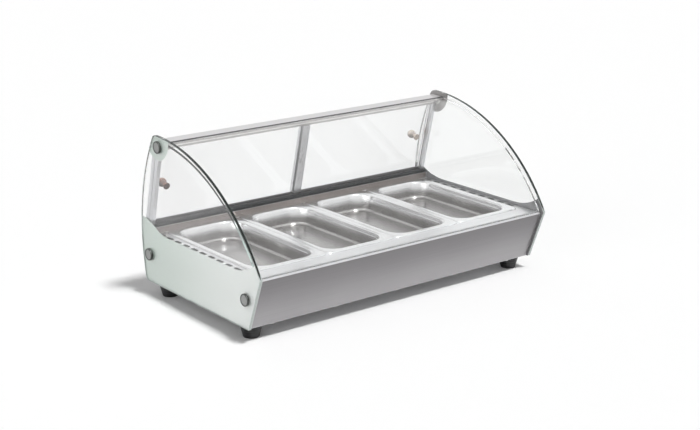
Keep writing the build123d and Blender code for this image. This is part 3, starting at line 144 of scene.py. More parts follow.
# %% [markdown]
# Rolled and brushed sheet shows fine lines that all run one way. The group below stretches a noise
# along the brushing: many changes per metre across it and few along it. It puts out a tone, a
# change of roughness and a height, so one group serves the deck, the fascia and the pans.
# An image of brushed metal would look the same, but noise has no seams and no fixed resolution.
# Four small helpers come first. One makes an empty group with named sockets, and one puts a group
# in a material with its own values. The other two add a noise, as it is or swinging around zero.

# %% Group: brushed grain
def new_group(name, inputs, outputs):
    """Empty node group with named number sockets, and its input and output nodes."""
    group = bpy.data.node_groups.new(name, "ShaderNodeTree")
    for socket, value in inputs.items():
        made = group.interface.new_socket(socket, in_out="INPUT", socket_type="NodeSocketFloat")
        made.default_value = value
    for socket in outputs:
        group.interface.new_socket(socket, in_out="OUTPUT", socket_type="NodeSocketFloat")
    source = group.nodes.new("NodeGroupInput")
    sink = group.nodes.new("NodeGroupOutput")
    return group, source.outputs, sink.inputs


def place_group(tree, group, values):
    """Put a node group in a material and set its inputs."""
    node = tree.nodes.new("ShaderNodeGroup")
    node.node_tree = group
    for name, value in values.items():
        node.inputs[name].default_value = value
    return node.outputs


def noise(tree, vector, **values):
    """Noise between 0 and 1."""
    return put(tree, "TexNoise", {"Vector": vector, **values}).outputs[0]


def centred_noise(tree, vector, **values):
    """Noise that swings around zero."""
    return calc(tree, "SUBTRACT", noise(tree, vector, **values), 0.5)


def brushed_group():
    """Noise stretched along X, Y or Z: tone around 1, roughness around 0, height around 0."""
    group, given, out = new_group(
        "brushed_grain",
        {"Along X": 1.0, "Along Y": 1.0, "Along Z": 1.0, "Tone": 0.1, "Rough": 0.1},
        ["Tone", "Roughness", "Height"],
    )
    place = own_place(group)
    stretch = put(group, "CombineXYZ", {0: given["Along X"], 1: given["Along Y"], 2: given["Along Z"]})
    spread = put(group, "VectorMath", {0: place, 1: stretch.outputs[0]}, operation="MULTIPLY").outputs[0]
    line = centred_noise(group, spread, Scale=1.0, Detail=4.0, Roughness=0.7)
    streak = centred_noise(group, spread, Scale=0.16, Detail=3.0)
    cloud = centred_noise(group, place, Scale=5.0, Detail=2.0)
    both = calc(group, "ADD", calc(group, "ADD", line, streak), cloud)
    group.links.new(calc(group, "MULTIPLY_ADD", both, given["Tone"], 1.0), out["Tone"])
    group.links.new(calc(group, "MULTIPLY", both, given["Rough"]), out["Roughness"])
    group.links.new(line, out["Height"])
    return group


brushed_grain = brushed_group()
print("brushed grain:", len(brushed_grain.nodes), "nodes")

# %% [markdown]
# Moulded plastic, rubber and enamel are never quite even: they have a fine grain and a slow change
# of gloss from handling and wiping. One group gives both, at a grain size chosen for each material.

# %% Group: moulded grain and handling
def moulded_group():
    """Fine grain height, with tone and roughness changes from wiping."""
    group, given, out = new_group(
        "moulded_grain", {"Grain": 900.0, "Tone": 0.06, "Rough": 0.08}, ["Tone", "Roughness", "Height"]
    )
    place = own_place(group)
    fine = noise(group, place, Scale=given["Grain"], Detail=3.0)
    cloud = centred_noise(group, place, Scale=14.0, Detail=3.0, Distortion=0.6)
    group.links.new(calc(group, "MULTIPLY_ADD", cloud, given["Tone"], 1.0), out["Tone"])
    group.links.new(calc(group, "MULTIPLY", cloud, given["Rough"]), out["Roughness"])
    group.links.new(fine, out["Height"])
    return group


moulded_grain = moulded_group()
print("moulded grain:", len(moulded_grain.nodes), "nodes")

# %% [markdown]
# Every material starts from the Principled shader. What is the same all over the surface is
# written on the shader's own inputs, and only what changes over it comes from a group: the tone
# multiplies the base colour, the roughness change is added, and the height feeds a Bump node.
# The colour may also be a function that builds its own nodes, for a surface of two colours.

# %% Helper: a surface from a grain group
GRAIN_DEPTH = 0.00002


def blended(tree, factor, first, second, how="MIX"):
    """Mix two colours by a factor; each may be a socket, and a colour may be three numbers."""
    mix = tree.nodes.new("ShaderNodeMix")
    mix.data_type = "RGBA"
    mix.blend_type = how
    for number, value in ((0, factor), (6, first), (7, second)):
        if isinstance(value, bpy.types.NodeSocket):
            tree.links.new(value, mix.inputs[number])
        elif number == 0:
            mix.inputs[number].default_value = value
        else:
            mix.inputs[number].default_value = (*value, 1.0)
    return mix.outputs[2]


def surface(name, colour, roughness, grain, metallic=0.0, bump=0.1, depth=GRAIN_DEPTH, **fixed):
    """Principled material whose colour, roughness and normal vary with a grain group's outputs."""
    material = bpy.data.materials.new(name)
    material.use_nodes = True
    tree = material.node_tree
    shader = tree.nodes["Principled BSDF"]
    shader.inputs["Metallic"].default_value = metallic
    for socket, value in fixed.items():
        shader.inputs[socket.replace("_", " ")].default_value = value
    wave = place_group(tree, *grain)
    if callable(colour):
        colour = colour(tree)
    tinted = blended(tree, 1.0, colour, wave["Tone"], "MULTIPLY")
    tree.links.new(tinted, shader.inputs["Base Color"])
    rough = calc(tree, "ADD", wave["Roughness"], roughness, use_clamp=True)
    tree.links.new(rough, shader.inputs["Roughness"])
    height = put(tree, "Bump", {"Height": wave["Height"], "Strength": bump, "Distance": depth})
    tree.links.new(height.outputs[0], shader.inputs["Normal"])
    return material


print("a grain's height in mm:", GRAIN_DEPTH / MM)

# %% [markdown]
# The metals. A studio white surrounds the case, so a metal shows its own base colour almost as it
# is written. The deck and the sill are bright, and the fascia is a darker, closely brushed sheet.
# The fascia carries painted shade: it is darker at its top and lighter towards its foot, so its
# colour is a mix of two greys by height. A pan is bright on its rim, with painted shade down its tub.
# The rail carries a painted highlight on faces that look up and painted shade on the others.
# The lower door track is anodised almost black. Each line below is one finish: its colour, its
# roughness, how metallic it is, the axis its brushing follows and how much the tone changes.

# %% Metals
ACROSS = 2600.0
ALONG = 14.0
# Painted shade: a pan's tub darkens below its bright rim, over this depth.
TUB_SHADE_DEPTH = 0.030
# Painted shade: the fascia is darker at its top than at its foot.
FASCIA_SHADED_TOP = (0.235, 0.228, 0.235)
FASCIA_LIT_FOOT = (0.41, 0.40, 0.41)
PAN_RIM = (0.81, 0.81, 0.82)
PAN_SHADED_TUB = (0.42, 0.41, 0.405)
# Painted highlight on the rail's upward faces and painted shade on its front and underside.
RAIL_LIT_TOP = (0.62, 0.61, 0.615)
RAIL_SHADED_FRONT = (0.40, 0.365, 0.36)
finish = {}


def along_axis(tree, axis, start, end):
    """0 at start and 1 at end along X, Y or Z of the case, in metres, smooth between them."""
    along = split(tree, own_place(tree))["XYZ".index(axis)]
    return put(tree, "MapRange", {0: along, 1: start, 2: end}, interpolation_type="SMOOTHSTEP").outputs[0]


def fascia_painted_shade(tree):
    """Painted shade: two greys by height, the darker at the top and the lighter at the foot of the fascia.
    """
    low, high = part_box("front_fascia")[0][2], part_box("front_fascia")[1][2]
    return blended(tree, along_axis(tree, "Z", low, high), FASCIA_LIT_FOOT, FASCIA_SHADED_TOP)


def pan_painted_shade(tree):
    """Painted shade: bright on the rim, and darker towards the floor of the pan."""
    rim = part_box("pan_1")[1][2]
    return blended(tree, along_axis(tree, "Z", rim, rim - TUB_SHADE_DEPTH), PAN_RIM, PAN_SHADED_TUB)


def rail_painted_light(tree):
    """Painted highlight on faces that look up, and painted shade, a warmer, darker grey, on faces that look
    forward or down.
    """
    up = split(tree, put(tree, "NewGeometry").outputs["True Normal"])[2]
    turned_up = put(tree, "MapRange", {0: up, 1: 0.2, 2: 0.6}).outputs[0]
    return blended(tree, turned_up, RAIL_SHADED_FRONT, RAIL_LIT_TOP)


def brushed(name, colour, roughness, metallic, axis, tone, rough=0.1, **fixed):
    """Finish of metal brushed along one axis of the case."""
    grain = {"Along " + each: ALONG if each == axis else ACROSS for each in "XYZ"}
    grain.update({"Tone": tone, "Rough": rough})
    finish[name] = surface(name, colour, roughness, (brushed_grain, grain), metallic, **fixed)


brushed("deck_steel", (0.73, 0.73, 0.74), 0.3, 0.9, "X", 0.07, 0.08)
brushed("fascia_steel", fascia_painted_shade, 0.4, 0.8, "X", 0.16)
brushed("skin_steel", (0.50, 0.50, 0.51), 0.38, 0.85, "X", 0.14)
brushed("pan_steel", pan_painted_shade, 0.2, 0.95, "Y", 0.06, 0.12)
brushed("liner_steel", (0.5, 0.5, 0.5), 0.42, 0.9, "X", 0.12)
brushed("rail_aluminium", rail_painted_light, 0.36, 0.6, "X", 0.06)
brushed("step_aluminium", (0.21, 0.185, 0.175), 0.4, 0.7, "X", 0.2)
brushed("track_aluminium", (0.075, 0.073, 0.075), 0.5, 0.5, "X", 0.2, Specular_IOR_Level=0.2)
brushed("stile_aluminium", (0.66, 0.66, 0.68), 0.3, 0.8, "Z", 0.1)
print("brushed metals:", sorted(finish))

# %% [markdown]
# The door knobs are turned from brass. The left one has a warm, coppery polish and the right one is
# plated paler. Each has a painted highlight on its upper side and painted shade on its underside.
# So the base colour is a mix of two by how far the surface looks up, and stays put on the knob.
# Small parts like these have no brushing, so a second helper gives a finish the moulded grain. The
# heating elements and the screws use it too.

# %% Knobs
# Each pair is a painted shade colour for the underside and a painted highlight colour for the top.
BRASS_SHADE_AND_HIGHLIGHT = ((0.06, 0.033, 0.026), (0.50, 0.30, 0.24))
PLATED_SHADE_AND_HIGHLIGHT = ((0.26, 0.21, 0.18), (0.82, 0.74, 0.67))


def moulded(name, colour, roughness, grain=900.0, tone=0.06, **fixed):
    """Finish with the moulded grain: its size, and how much the tone changes."""
    values = {"Grain": grain, "Tone": tone}
    finish[name] = surface(name, colour, roughness, (moulded_grain, values), **fixed)


def painted_top_light(under, upper):
    """Colour function: painted shade below and a painted highlight above."""
    def colour(tree):
        up = split(tree, put(tree, "NewGeometry").outputs["Normal"])[2]
        bright = put(tree, "MapRange", {0: up, 1: -0.5, 2: 0.8}, interpolation_type="SMOOTHSTEP")
        return blended(tree, bright.outputs[0], under, upper)
    return colour


moulded("knob_brass", painted_top_light(*BRASS_SHADE_AND_HIGHLIGHT), 0.22, 300.0, 0.6, metallic=0.75, bump=0.03, Coat_Weight=0.7)
moulded("knob_plated", painted_top_light(*PLATED_SHADE_AND_HIGHLIGHT), 0.2, 300.0, 0.4, metallic=0.75, bump=0.03, Coat_Weight=0.7)
moulded("element_steel", (0.16, 0.14, 0.13), 0.45, 500.0, 0.5, metallic=0.8)
moulded("fastener_steel", (0.6, 0.6, 0.6), 0.3, 1500.0, 0.15, metallic=0.95)
print("finishes so far:", len(finish))

# %% [markdown]
# A button's face is turned on a lathe, which leaves fine rings around its axis. Rings need the
# distance from that axis, and one node tree has to serve all six buttons. The two sides are mirror
# images, so three centres are enough, and the nodes take the smallest of three distances in the
# plane of the side glass. A sine of that distance makes the rings.

# %% Button steel
BUTTONS = ((-0.16897, 0.0910), (0.18780, 0.0910), (0.14028, 0.33239))
FACE_EDGE = (0.0100, 0.0106)
RING_WAVE = 9000.0
# Painted shade: the rim and barrel of a button are a much darker grey than its face.
BUTTON_SHADED_RIM = (0.10, 0.105, 0.10)
BUTTON_FACE = ((0.27, 0.275, 0.27), (0.35, 0.355, 0.35))


def nearest_axis(tree):
    """Distance from the nearest button axis, in metres."""
    place = split(tree, own_place(tree))
    nearest = None
    for y, z in BUTTONS:
        across = calc(tree, "SUBTRACT", place[1], y)
        up = calc(tree, "SUBTRACT", place[2], z)
        flat = put(tree, "CombineXYZ", {0: across, 1: up}).outputs[0]
        away = put(tree, "VectorMath", {0: flat}, operation="LENGTH").outputs["Value"]
        nearest = away if nearest is None else calc(tree, "MINIMUM", nearest, away)
    return nearest


def button_rings_and_shade(tree):
    """Lighter satin face inside a rim and barrel darkened by painted shade."""
    away = nearest_axis(tree)
    face = put(tree, "MapRange", {0: away, 1: FACE_EDGE[0], 2: FACE_EDGE[1], 3: 1.0, 4: 0.0}).outputs[0]
    rings = calc(tree, "SINE", calc(tree, "MULTIPLY", away, RING_WAVE))
    satin = blended(tree, calc(tree, "MULTIPLY_ADD", rings, 0.5, 0.5), *BUTTON_FACE)
    return blended(tree, face, BUTTON_SHADED_RIM, satin)


moulded("button_steel", button_rings_and_shade, 0.34, 1200.0, 0.2, metallic=0.8)
print("rings on a button's face:", round(FACE_EDGE[0] * RING_WAVE / (2 * pi)))

# %% [markdown]
# Plastics, rubber, nylon, wool and the lamp's milky cover use the moulded grain.
# The cover gives a little light of its own, so that the strip reads as a lamp.

# %% Plastics and other plain stuff
moulded("black_rubber", (0.010, 0.010, 0.011), 0.3, 1200.0, 0.3, bump=0.2)
moulded(
    "black_plastic", (0.012, 0.013, 0.014), 0.6, 1600.0, 0.25, bump=0.2, Specular_IOR_Level=0.12
)
moulded("nylon", (0.78, 0.77, 0.72), 0.5, bump=0.15, Subsurface_Weight=0.1)
moulded("wool", (0.68, 0.60, 0.40), 0.95, 420.0, 0.4, bump=1.0, depth=0.0008)
moulded("board", (0.80, 0.80, 0.77), 0.5)
moulded(
    "lamp_cover", (0.72, 0.71, 0.69), 0.45,
    Emission_Color=(1.0, 0.97, 0.92, 1.0), Emission_Strength=0.12,
)
moulded("amber_lens", (0.85, 0.36, 0.05), 0.12, 400.0, Coat_Weight=0.5)
moulded("display", (0.012, 0.014, 0.014), 0.1, 200.0, Coat_Weight=1.0)
moulded("switch_red", (0.50, 0.03, 0.02), 0.25, Coat_Weight=0.3)
print("finishes so far:", len(finish))

# %% [markdown]
# The enamel is printed on the inner face of the glass. From outside it is seen through the pane
# as a pale mint, with painted shade that makes it darker towards the serving side, and from inside
# the case it is a mid grey, lighter on the patch at the top. The print is a closed layer with two
# faces, so the colour is chosen by how far the surface lies from the middle of the case: beyond the
# middle of the layer it is the mint face.

# %% Enamel
PRINT_MIDDLE = 0.37770
MINT_FRONT = (0.84, 0.87, 0.85)
# Painted shade: the mint darkens towards the serving side.
MINT_SHADED_REAR = (0.595, 0.675, 0.625)
MINT_SHADE_FADE = (-0.16, 0.19)
GREY = (0.235, 0.235, 0.24)
GREY_TOP = (0.40, 0.385, 0.38)
GREY_FADE = (0.25, 0.29)


def enamel_colour(tree):
    """Mint on the outer face of the print, with painted shade towards the serving side; grey on its inner
    face.
    """
    out = calc(tree, "ABSOLUTE", split(tree, own_place(tree))[0])
    outer = calc(tree, "GREATER_THAN", out, PRINT_MIDDLE)
    mint = blended(tree, along_axis(tree, "Y", *MINT_SHADE_FADE), MINT_FRONT, MINT_SHADED_REAR)
    grey = blended(tree, along_axis(tree, "Z", *GREY_FADE), GREY, GREY_TOP)
    return blended(tree, outer, grey, mint)


moulded("enamel", enamel_colour, 0.3, 700.0, 0.03, bump=0.03)
print("the print changes colour at", PRINT_MIDDLE / MM, "mm from the middle of the case")

# %% [markdown]
# Clear glass bends and reflects light, which the Principled shader does with full transmission.
# The renderer would also let the panes throw dark shadows, because it doesn't trace lamps through
# bent light. A Transparent shader that only shadow rays meet lets the lamps shine through instead.
# Float glass is clear through its faces and green through its ends, where light has come a long
# way inside it, so the front pane's base colour turns to green on its two end faces. A reflecting
# front pane would hide the pans from the customer. A coated pane reflects less, and this one does
# so through a refractive index set below that of plain glass.

# %% Glass
GLASS_IOR = 1.45
COATED_IOR = 1.25
SIDE_CLEAR = (0.987, 0.991, 0.989)
FRONT_CLEAR = (0.985, 0.992, 0.989)
FRONT_END = (0.30, 0.46, 0.41)
DOOR_CLEAR = (0.985, 0.987, 0.987)
DOOR_HAZE = (0.925, 0.924, 0.927)
HAZE_FADE = (0.12, 0.37)


def glass_material(name, colour, ior=GLASS_IOR):
    """Clear glass that lamps shine through; its colour may be built by a function."""
    material = bpy.data.materials.new(name)
    material.use_nodes = True
    tree = material.node_tree
    shader = tree.nodes["Principled BSDF"]
    shader.inputs["Roughness"].default_value = 0.0
    shader.inputs["IOR"].default_value = ior
    shader.inputs["Transmission Weight"].default_value = 1.0
    clear = put(tree, "BsdfTransparent")
    if callable(colour):
        colour = colour(tree)
        tree.links.new(colour, shader.inputs["Base Color"])
        tree.links.new(colour, clear.inputs["Color"])
    else:
        shader.inputs["Base Color"].default_value = (*colour, 1.0)
        clear.inputs["Color"].default_value = (*colour, 1.0)
    shadow = put(tree, "LightPath").outputs["Is Shadow Ray"]
    mix = put(tree, "MixShader", {0: shadow, 1: shader.outputs[0], 2: clear.outputs[0]})
    tree.links.new(mix.outputs[0], tree.nodes["Material Output"].inputs["Surface"])
    return material


def front_glass_colour(tree):
    """Clear, and green on the two ends, where light comes from the length of the pane."""
    sideways = calc(tree, "ABSOLUTE", split(tree, put(tree, "NewGeometry").outputs["True Normal"])[0])
    return blended(tree, calc(tree, "GREATER_THAN", sideways, 0.5), FRONT_CLEAR, FRONT_END)


def door_glass_colour(tree):
    """A faint haze where hands slide the doors, stronger towards the outer sides."""
    out = calc(tree, "ABSOLUTE", split(tree, own_place(tree))[0])
    limits = {0: out, 1: HAZE_FADE[0], 2: HAZE_FADE[1]}
    haze = put(tree, "MapRange", limits, interpolation_type="SMOOTHSTEP").outputs[0]
    return blended(tree, haze, DOOR_CLEAR, DOOR_HAZE)


finish["side_glass"] = glass_material("side_glass", SIDE_CLEAR)
finish["front_glass"] = glass_material("front_glass", front_glass_colour, COATED_IOR)
finish["door_glass"] = glass_material("door_glass", door_glass_colour)
print("finishes:", sorted(finish))

# %% [markdown]
# Each piece in the record names its material slot, so the finishes can be handed out in one loop.
# The lower track shares the slot of the rail, but it is the dark one of the two.

# %% Give every piece its finish
SPECIAL = {"lower_track": "track_aluminium"}
slot_of = {part["node"]: part["material_slot"] for part in frame["record"]["subparts"]}
for name, thing in nodes.items():
    thing.data.materials.clear()
    thing.data.materials.append(finish[SPECIAL.get(name, slot_of[name])])
print("dressed", len(nodes), "pieces")

# %% [markdown]
# Pieces made here come from lists of points and faces. One helper makes the mesh, rounds the
# shading except across sharp edges, gives it its finish and tells the frame which body it rides on.

# %% Helper: a new piece
SHARP = 35


def new_piece(name, points, faces, body, slot, sharp=SHARP, dress=None):
    """Mesh piece from points in millimetres, riding on a body and dressed from a slot."""
    mesh = bpy.data.meshes.new(name)
    mesh.from_pydata([[value * MM for value in point] for point in points], [], faces)
    mesh.polygons.foreach_set("use_smooth", [True] * len(mesh.polygons))
    mesh.update()
    mesh.set_sharp_from_angle(angle=radians(sharp))
    piece = bpy.data.objects.new(name, mesh)
    bpy.context.scene.collection.objects.link(piece)
    mesh.materials.append(finish[dress or slot])
    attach(piece, body)
    return piece


def box_mm(node):
    """Lowest and highest corners of a node, in millimetres."""
    return [[value / MM for value in corner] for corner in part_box(node)]


print("highest corner of a side pane in mm:", [round(v, 1) for v in box_mm("side_glass_right")[1]])

# %% [markdown]
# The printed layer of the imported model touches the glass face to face. Two faces in one place
# confuse a ray tracer, so a copy of the layer stands for it here, 0.15 mm clear of the pane.
# On the right side, where it is seen from inside the case, its long upper edge is drawn a little
# higher. On the left side it stays low, so that the vent slots in the deck show above it.

# %% Enamel print
PRINT_GAP = 0.00015
PRINT_RAISE = 0.0025
WINDOW_FOOT = 0.1425
WINDOW_BEND = 0.165
WINDOW_REACH = (-0.2, 0.15)


def add_print():
    """Copy of the enamel layer, moved a hair inwards, the right one's upper edge a little higher."""
    mesh = nodes["side_enamel"].data.copy()
    mesh.name = "enamel_print"
    for vertex in mesh.vertices:
        place = vertex.co
        place.x -= PRINT_GAP if place.x > 0 else -PRINT_GAP
        on_edge = WINDOW_REACH[0] < place.y < WINDOW_REACH[1] and WINDOW_FOOT - MM < place.z < WINDOW_BEND
        if place.x > 0 and on_edge:
            fade = (WINDOW_BEND - place.z) / (WINDOW_BEND - WINDOW_FOOT)
            place.z += PRINT_RAISE * min(1.0, fade)
    piece = bpy.data.objects.new("enamel_print", mesh)
    bpy.context.scene.collection.objects.link(piece)
    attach(piece, "case")
    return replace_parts(piece, "side_enamel")


enamel_print = add_print()
print("enamel print:", len(enamel_print.data.polygons), "faces")

# %% [markdown]
# A food pan is pressed from one sheet: a flat rim with a rounded, turned-down edge, a soft shoulder
# into the tub, walls that lean in a little with a stacking step, and a generous radius to the floor.
# Such a form is a stack of rounded rectangles. Each ring below is given by how far it lies inside
# the rim's edge, how far below the top, and its corner radius; faces join each ring to the next.
# The Solidify modifier then gives the sheet its thickness.

# %% Pressed pans
PAN_SHEET = 0.8
PAN_DEEP = 40.0
RIM_DROP = 3.0
CORNER_STEPS = 10
EDGE_ROUND = 2.0
EDGE_CORNER = 9.0
RIM_MIDDLE = (5.5, 0.05, 20.0)
SHOULDER_INSET = 9.6
SHOULDER_DROP = 0.15
SHOULDER_ROUND = 3.0
SHOULDER_CORNER = 37.0
CORNER_GROWTH = 0.05
STACKING_STEP = [(12.8, 3.2, 41.2), (13.2, 9.0, 41.0), (13.7, 10.2, 40.6), (14.1, 11.2, 40.2)]
WALL_LEAN = 0.07
FLOOR_CORNER = 38.4
FLOOR_ROUND = 7.0
FLOOR_RISE = 8.0
FLOOR_DROP = FLOOR_RISE - PAN_SHEET


def rounded_ring(centre, half_x, half_y, radius, z):
    """Points of a rounded rectangle at height z, anticlockwise from above."""
    points = []
    for corner, (side_x, side_y) in enumerate(((1, -1), (1, 1), (-1, 1), (-1, -1))):
        for step in range(CORNER_STEPS + 1):
            angle = (corner - 1 + step / CORNER_STEPS) * pi / 2
            x = centre[0] + side_x * (half_x - radius) + radius * cos(angle)
            y = centre[1] + side_y * (half_y - radius) + radius * sin(angle)
            points.append((x, y, z))
    return points


def pan_rings():
    """Inset from the rim's edge, depth below the top and corner radius of each ring."""
    rings = [(0.0, RIM_DROP, EDGE_CORNER)]
    for angle in range(0, 91, 15):
        a = radians(angle)
        rings.append((EDGE_ROUND - EDGE_ROUND * cos(a), EDGE_ROUND - EDGE_ROUND * sin(a), EDGE_CORNER))
    rings.append(RIM_MIDDLE)
    rings.append((SHOULDER_INSET, SHOULDER_DROP, SHOULDER_CORNER))
    for angle in range(15, 76, 15):
        a = radians(angle)
        inset = SHOULDER_INSET + SHOULDER_ROUND * sin(a)
        down = SHOULDER_DROP + SHOULDER_ROUND - SHOULDER_ROUND * cos(a)
        rings.append((inset, down, SHOULDER_CORNER + angle * CORNER_GROWTH))
    rings += STACKING_STEP
    step_inset, step_down, _ = STACKING_STEP[-1]
    wall_foot = step_inset + WALL_LEAN * (PAN_DEEP - step_down - FLOOR_RISE)
    for angle in range(0, 91, 15):
        a = radians(angle)
        turn = FLOOR_ROUND * (1 - cos(a))
        rings.append((wall_foot + turn, PAN_DEEP - FLOOR_RISE + FLOOR_DROP * sin(a), FLOOR_CORNER - turn))
    return rings


def add_pan(number):
    """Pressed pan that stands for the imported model's pan of that number."""
    low, high = box_mm(f"pan_{number}")
    centre = ((low[0] + high[0]) / 2, (low[1] + high[1]) / 2)
    half_x, half_y = (high[0] - low[0]) / 2, (high[1] - low[1]) / 2
    points, faces = [], []
    rings = pan_rings()
    for inset, down, radius in rings:
        points += rounded_ring(centre, half_x - inset, half_y - inset, radius, high[2] - down)
    count = 4 * (CORNER_STEPS + 1)
    for ring in range(len(rings) - 1):
        for i in range(count):
            a, b = ring * count + i, ring * count + (i + 1) % count
            faces.append((a, b, b + count, a + count))
    faces.append(tuple(range((len(rings) - 1) * count, len(rings) * count)))
    pan = new_piece(f"pressed_pan_{number}", points, faces, f"pan_{number}_body", "pan_steel")
    sheet = pan.modifiers.new("sheet", "SOLIDIFY")
    sheet.thickness = PAN_SHEET * MM
    sheet.offset = -1.0
    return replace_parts(pan, f"pan_{number}")


pans = [add_pan(number) for number in range(1, 5)]
print("pans:", [len(pan.data.polygons) for pan in pans], "faces each")

# %% [markdown]
# The six stand-off buttons hold the side panes. Each is turned from bar: a stud through the glass,
# a short barrel, a rounded rim, and a face that is dished a little and crowned in the middle, which
# gives the bright curved line across it. A lathe part is a profile carried around an axis, so the
# profile is written once, as radius and distance from the glass.

# %% Turned buttons
BUTTON_STEPS = 48
GLASS_FACE = 384.0
STUD = 20.0
BUTTON_PROFILE = [
    (3.0, -STUD), (3.0, -0.05), (12.4, 0.0), (12.9, 0.3), (13.0, 0.8), (13.0, 3.6), (12.85, 4.3),
    (12.4, 4.8), (11.8, 5.0), (11.2, 4.95), (10.7, 4.5), (10.2, 4.1), (8.6, 4.15), (7.6, 4.35),
    (6.9, 4.85), (6.2, 4.95), (3.0, 4.98), (0.6, 5.0),
]


def turned(profile, centre, side, start):
    """Points and faces of a profile turned about X, beginning at this point number."""
    points, faces = [], []
    for radius, out in profile:
        for step in range(BUTTON_STEPS):
            angle = 2 * pi * step / BUTTON_STEPS
            x = side * (GLASS_FACE + out)
            points.append((x, centre[0] + radius * cos(angle), centre[1] + radius * sin(angle)))
    for ring in range(len(profile) - 1):
        for step in range(BUTTON_STEPS):
            a = start + ring * BUTTON_STEPS + step
            b = start + ring * BUTTON_STEPS + (step + 1) % BUTTON_STEPS
            quad = (a, b, b + BUTTON_STEPS, a + BUTTON_STEPS)
            faces.append(quad if side > 0 else quad[::-1])
    last = start + (len(profile) - 1) * BUTTON_STEPS
    face = tuple(range(last, last + BUTTON_STEPS))
    back = tuple(range(start, start + BUTTON_STEPS))
    faces.append(face if side > 0 else face[::-1])
    faces.append(back[::-1] if side > 0 else back)
    return points, faces


def add_buttons():
    """All six turned buttons as one piece."""
    points, faces = [], []
    for side in (-1, 1):
        for y, z in BUTTONS:
            more, skin = turned(BUTTON_PROFILE, (y / MM, z / MM), side, len(points))
            points += more
            faces += skin
    piece = new_piece("turned_buttons", points, faces, "case", "button_steel")
    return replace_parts(piece, "glass_buttons")


buttons = add_buttons()
print("buttons:", len(buttons.data.polygons), "faces")

# %% [markdown]
# The step behind the pans is faced with a ribbed aluminium strip. It is an extrusion, so its
# section is drawn once in depth and height, and carried along the width of the case. Each rib is
# half a circle pressed flat; where it starts, its middle and its half height are shares of the pitch.

# %% Ribbed strip on the step
RIB_COUNT = 4
RIB_REACH = 0.9
RIB_TOP = 0.15
RIB_MIDDLE = 0.55
RIB_HALF = 0.38
WEB = 0.3
STRIP_BACK = 0.05
STRIP_BEFORE_TRACK = 0.7
STRIP_BELOW_TRACK = 0.2
STRIP_ABOVE_DECK = 0.3
STRIP_SHARP = 50


def extruded(name, section, x_low, x_high, body, slot, sharp, dress):
    """Prism along X over a section of depth and height points, anticlockwise seen from +X."""
    count = len(section)
    points = [(x_low, y, z) for y, z in section] + [(x_high, y, z) for y, z in section]
    faces = [tuple(range(count))[::-1], tuple(range(count, 2 * count))]
    for i in range(count):
        j = (i + 1) % count
        faces.append((i, j, j + count, i + count))
    return new_piece(name, points, faces, body, slot, sharp, dress)


def add_ribbed_strip():
    """Facing of the step between the deck and the doors' shelf."""
    track = box_mm("track_strip")
    back = track[0][1] - STRIP_BEFORE_TRACK - STRIP_BACK
    top = track[0][2] - STRIP_BELOW_TRACK
    foot = box_mm("pan_1")[0][2] + PAN_DEEP - RIM_DROP + STRIP_ABOVE_DECK
    pitch = (top - foot) / RIB_COUNT
    section = [(back, top), (back - WEB, top)]
    for rib in range(RIB_COUNT):
        z = top - rib * pitch
        section.append((back - WEB, z - RIB_TOP * pitch))
        for angle in range(0, 181, 30):
            a = radians(angle)
            section.append((back - WEB - RIB_REACH * sin(a), z - pitch * (RIB_MIDDLE - RIB_HALF * cos(a))))
    section += [(back - WEB, foot), (back, foot)]
    section.reverse()
    return extruded(
        "step_strip", section, track[0][0], track[1][0], "case", "rail_aluminium",
        STRIP_SHARP, "step_aluminium",
    )


step_strip = add_ribbed_strip()
print("step strip:", len(step_strip.data.polygons), "faces")

# %% [markdown]
# The corners of the side panes are ground with a narrow bevel. It is frosted and looks dark where
# the pane is clear. Beside the enamel the grinding takes in nearly the whole rim, and looks pale.
# It is small, but it draws the outline of the whole case, so it is made as a real strip. The path
# is read from the pane's own mesh: the edges between its flat face and its rim, walked from point
# to point.

# %% Ground corners of the side panes
BEVEL = 0.8
LOW_BEVEL = 2.9
BEVEL_PROUD = 0.02
BEVEL_SUNK = 0.05
BEVEL_SHARP = 20
GLASS_BACK = 378.0
SAME_PLANE = 1e-5
SAME_POINT = 1e-6
GROUND_PALE = (0.55, 0.60, 0.58)
GROUND_DARK = (0.045, 0.075, 0.065)
GROUND_FADE = (0.150, 0.200)


def face_border(shape, x):
    """Neighbours of each point along the edges that part the flat face at x from its rim."""
    beside = {}
    for edge in shape.edges:
        if any(abs(vertex.co.x - x) > SAME_PLANE for vertex in edge.verts) or len(edge.link_faces) != 2:
            continue
        flat = [abs(face.normal.x) > 0.9 for face in edge.link_faces]
        if flat[0] != flat[1]:
            first, second = edge.verts
            beside.setdefault(first, []).append(second)
            beside.setdefault(second, []).append(first)
    return beside


def rim_loop(mesh, x):
    """The longest closed loop of depth and height points around a pane's flat face, anticlockwise."""
    shape = bmesh.new()
    shape.from_mesh(mesh)
    bmesh.ops.remove_doubles(shape, verts=shape.verts, dist=SAME_POINT)
    beside = face_border(shape, x)
    best = []
    while beside:
        walk = [next(iter(beside))]
        while walk[-1] in beside:
            onward = [vertex for vertex in beside.pop(walk[-1]) if vertex in beside]
            if not onward:
                break
            walk.append(onward[0])
        if len(walk) > len(best):
            best = walk
    points = [(vertex.co.y / MM, vertex.co.z / MM) for vertex in best]
    shape.free()
    area = sum(a[0] * b[1] - b[0] * a[1] for a, b in zip(points, points[1:] + points[:1]))
    return points if area > 0 else points[::-1]


def outward(points):
    """Unit normals of a closed anticlockwise loop, pointing away from its middle."""
    normals = []
    for i in range(len(points)):
        before, after = points[i - 1], points[(i + 1) % len(points)]
        normals.append(Vector((after[1] - before[1], before[0] - after[0])).normalized())
    return normals


def ground_colour(tree):
    """Dark green glass above the enamel, pale beside it."""
    return blended(tree, along_axis(tree, "Z", *GROUND_FADE), GROUND_PALE, GROUND_DARK)


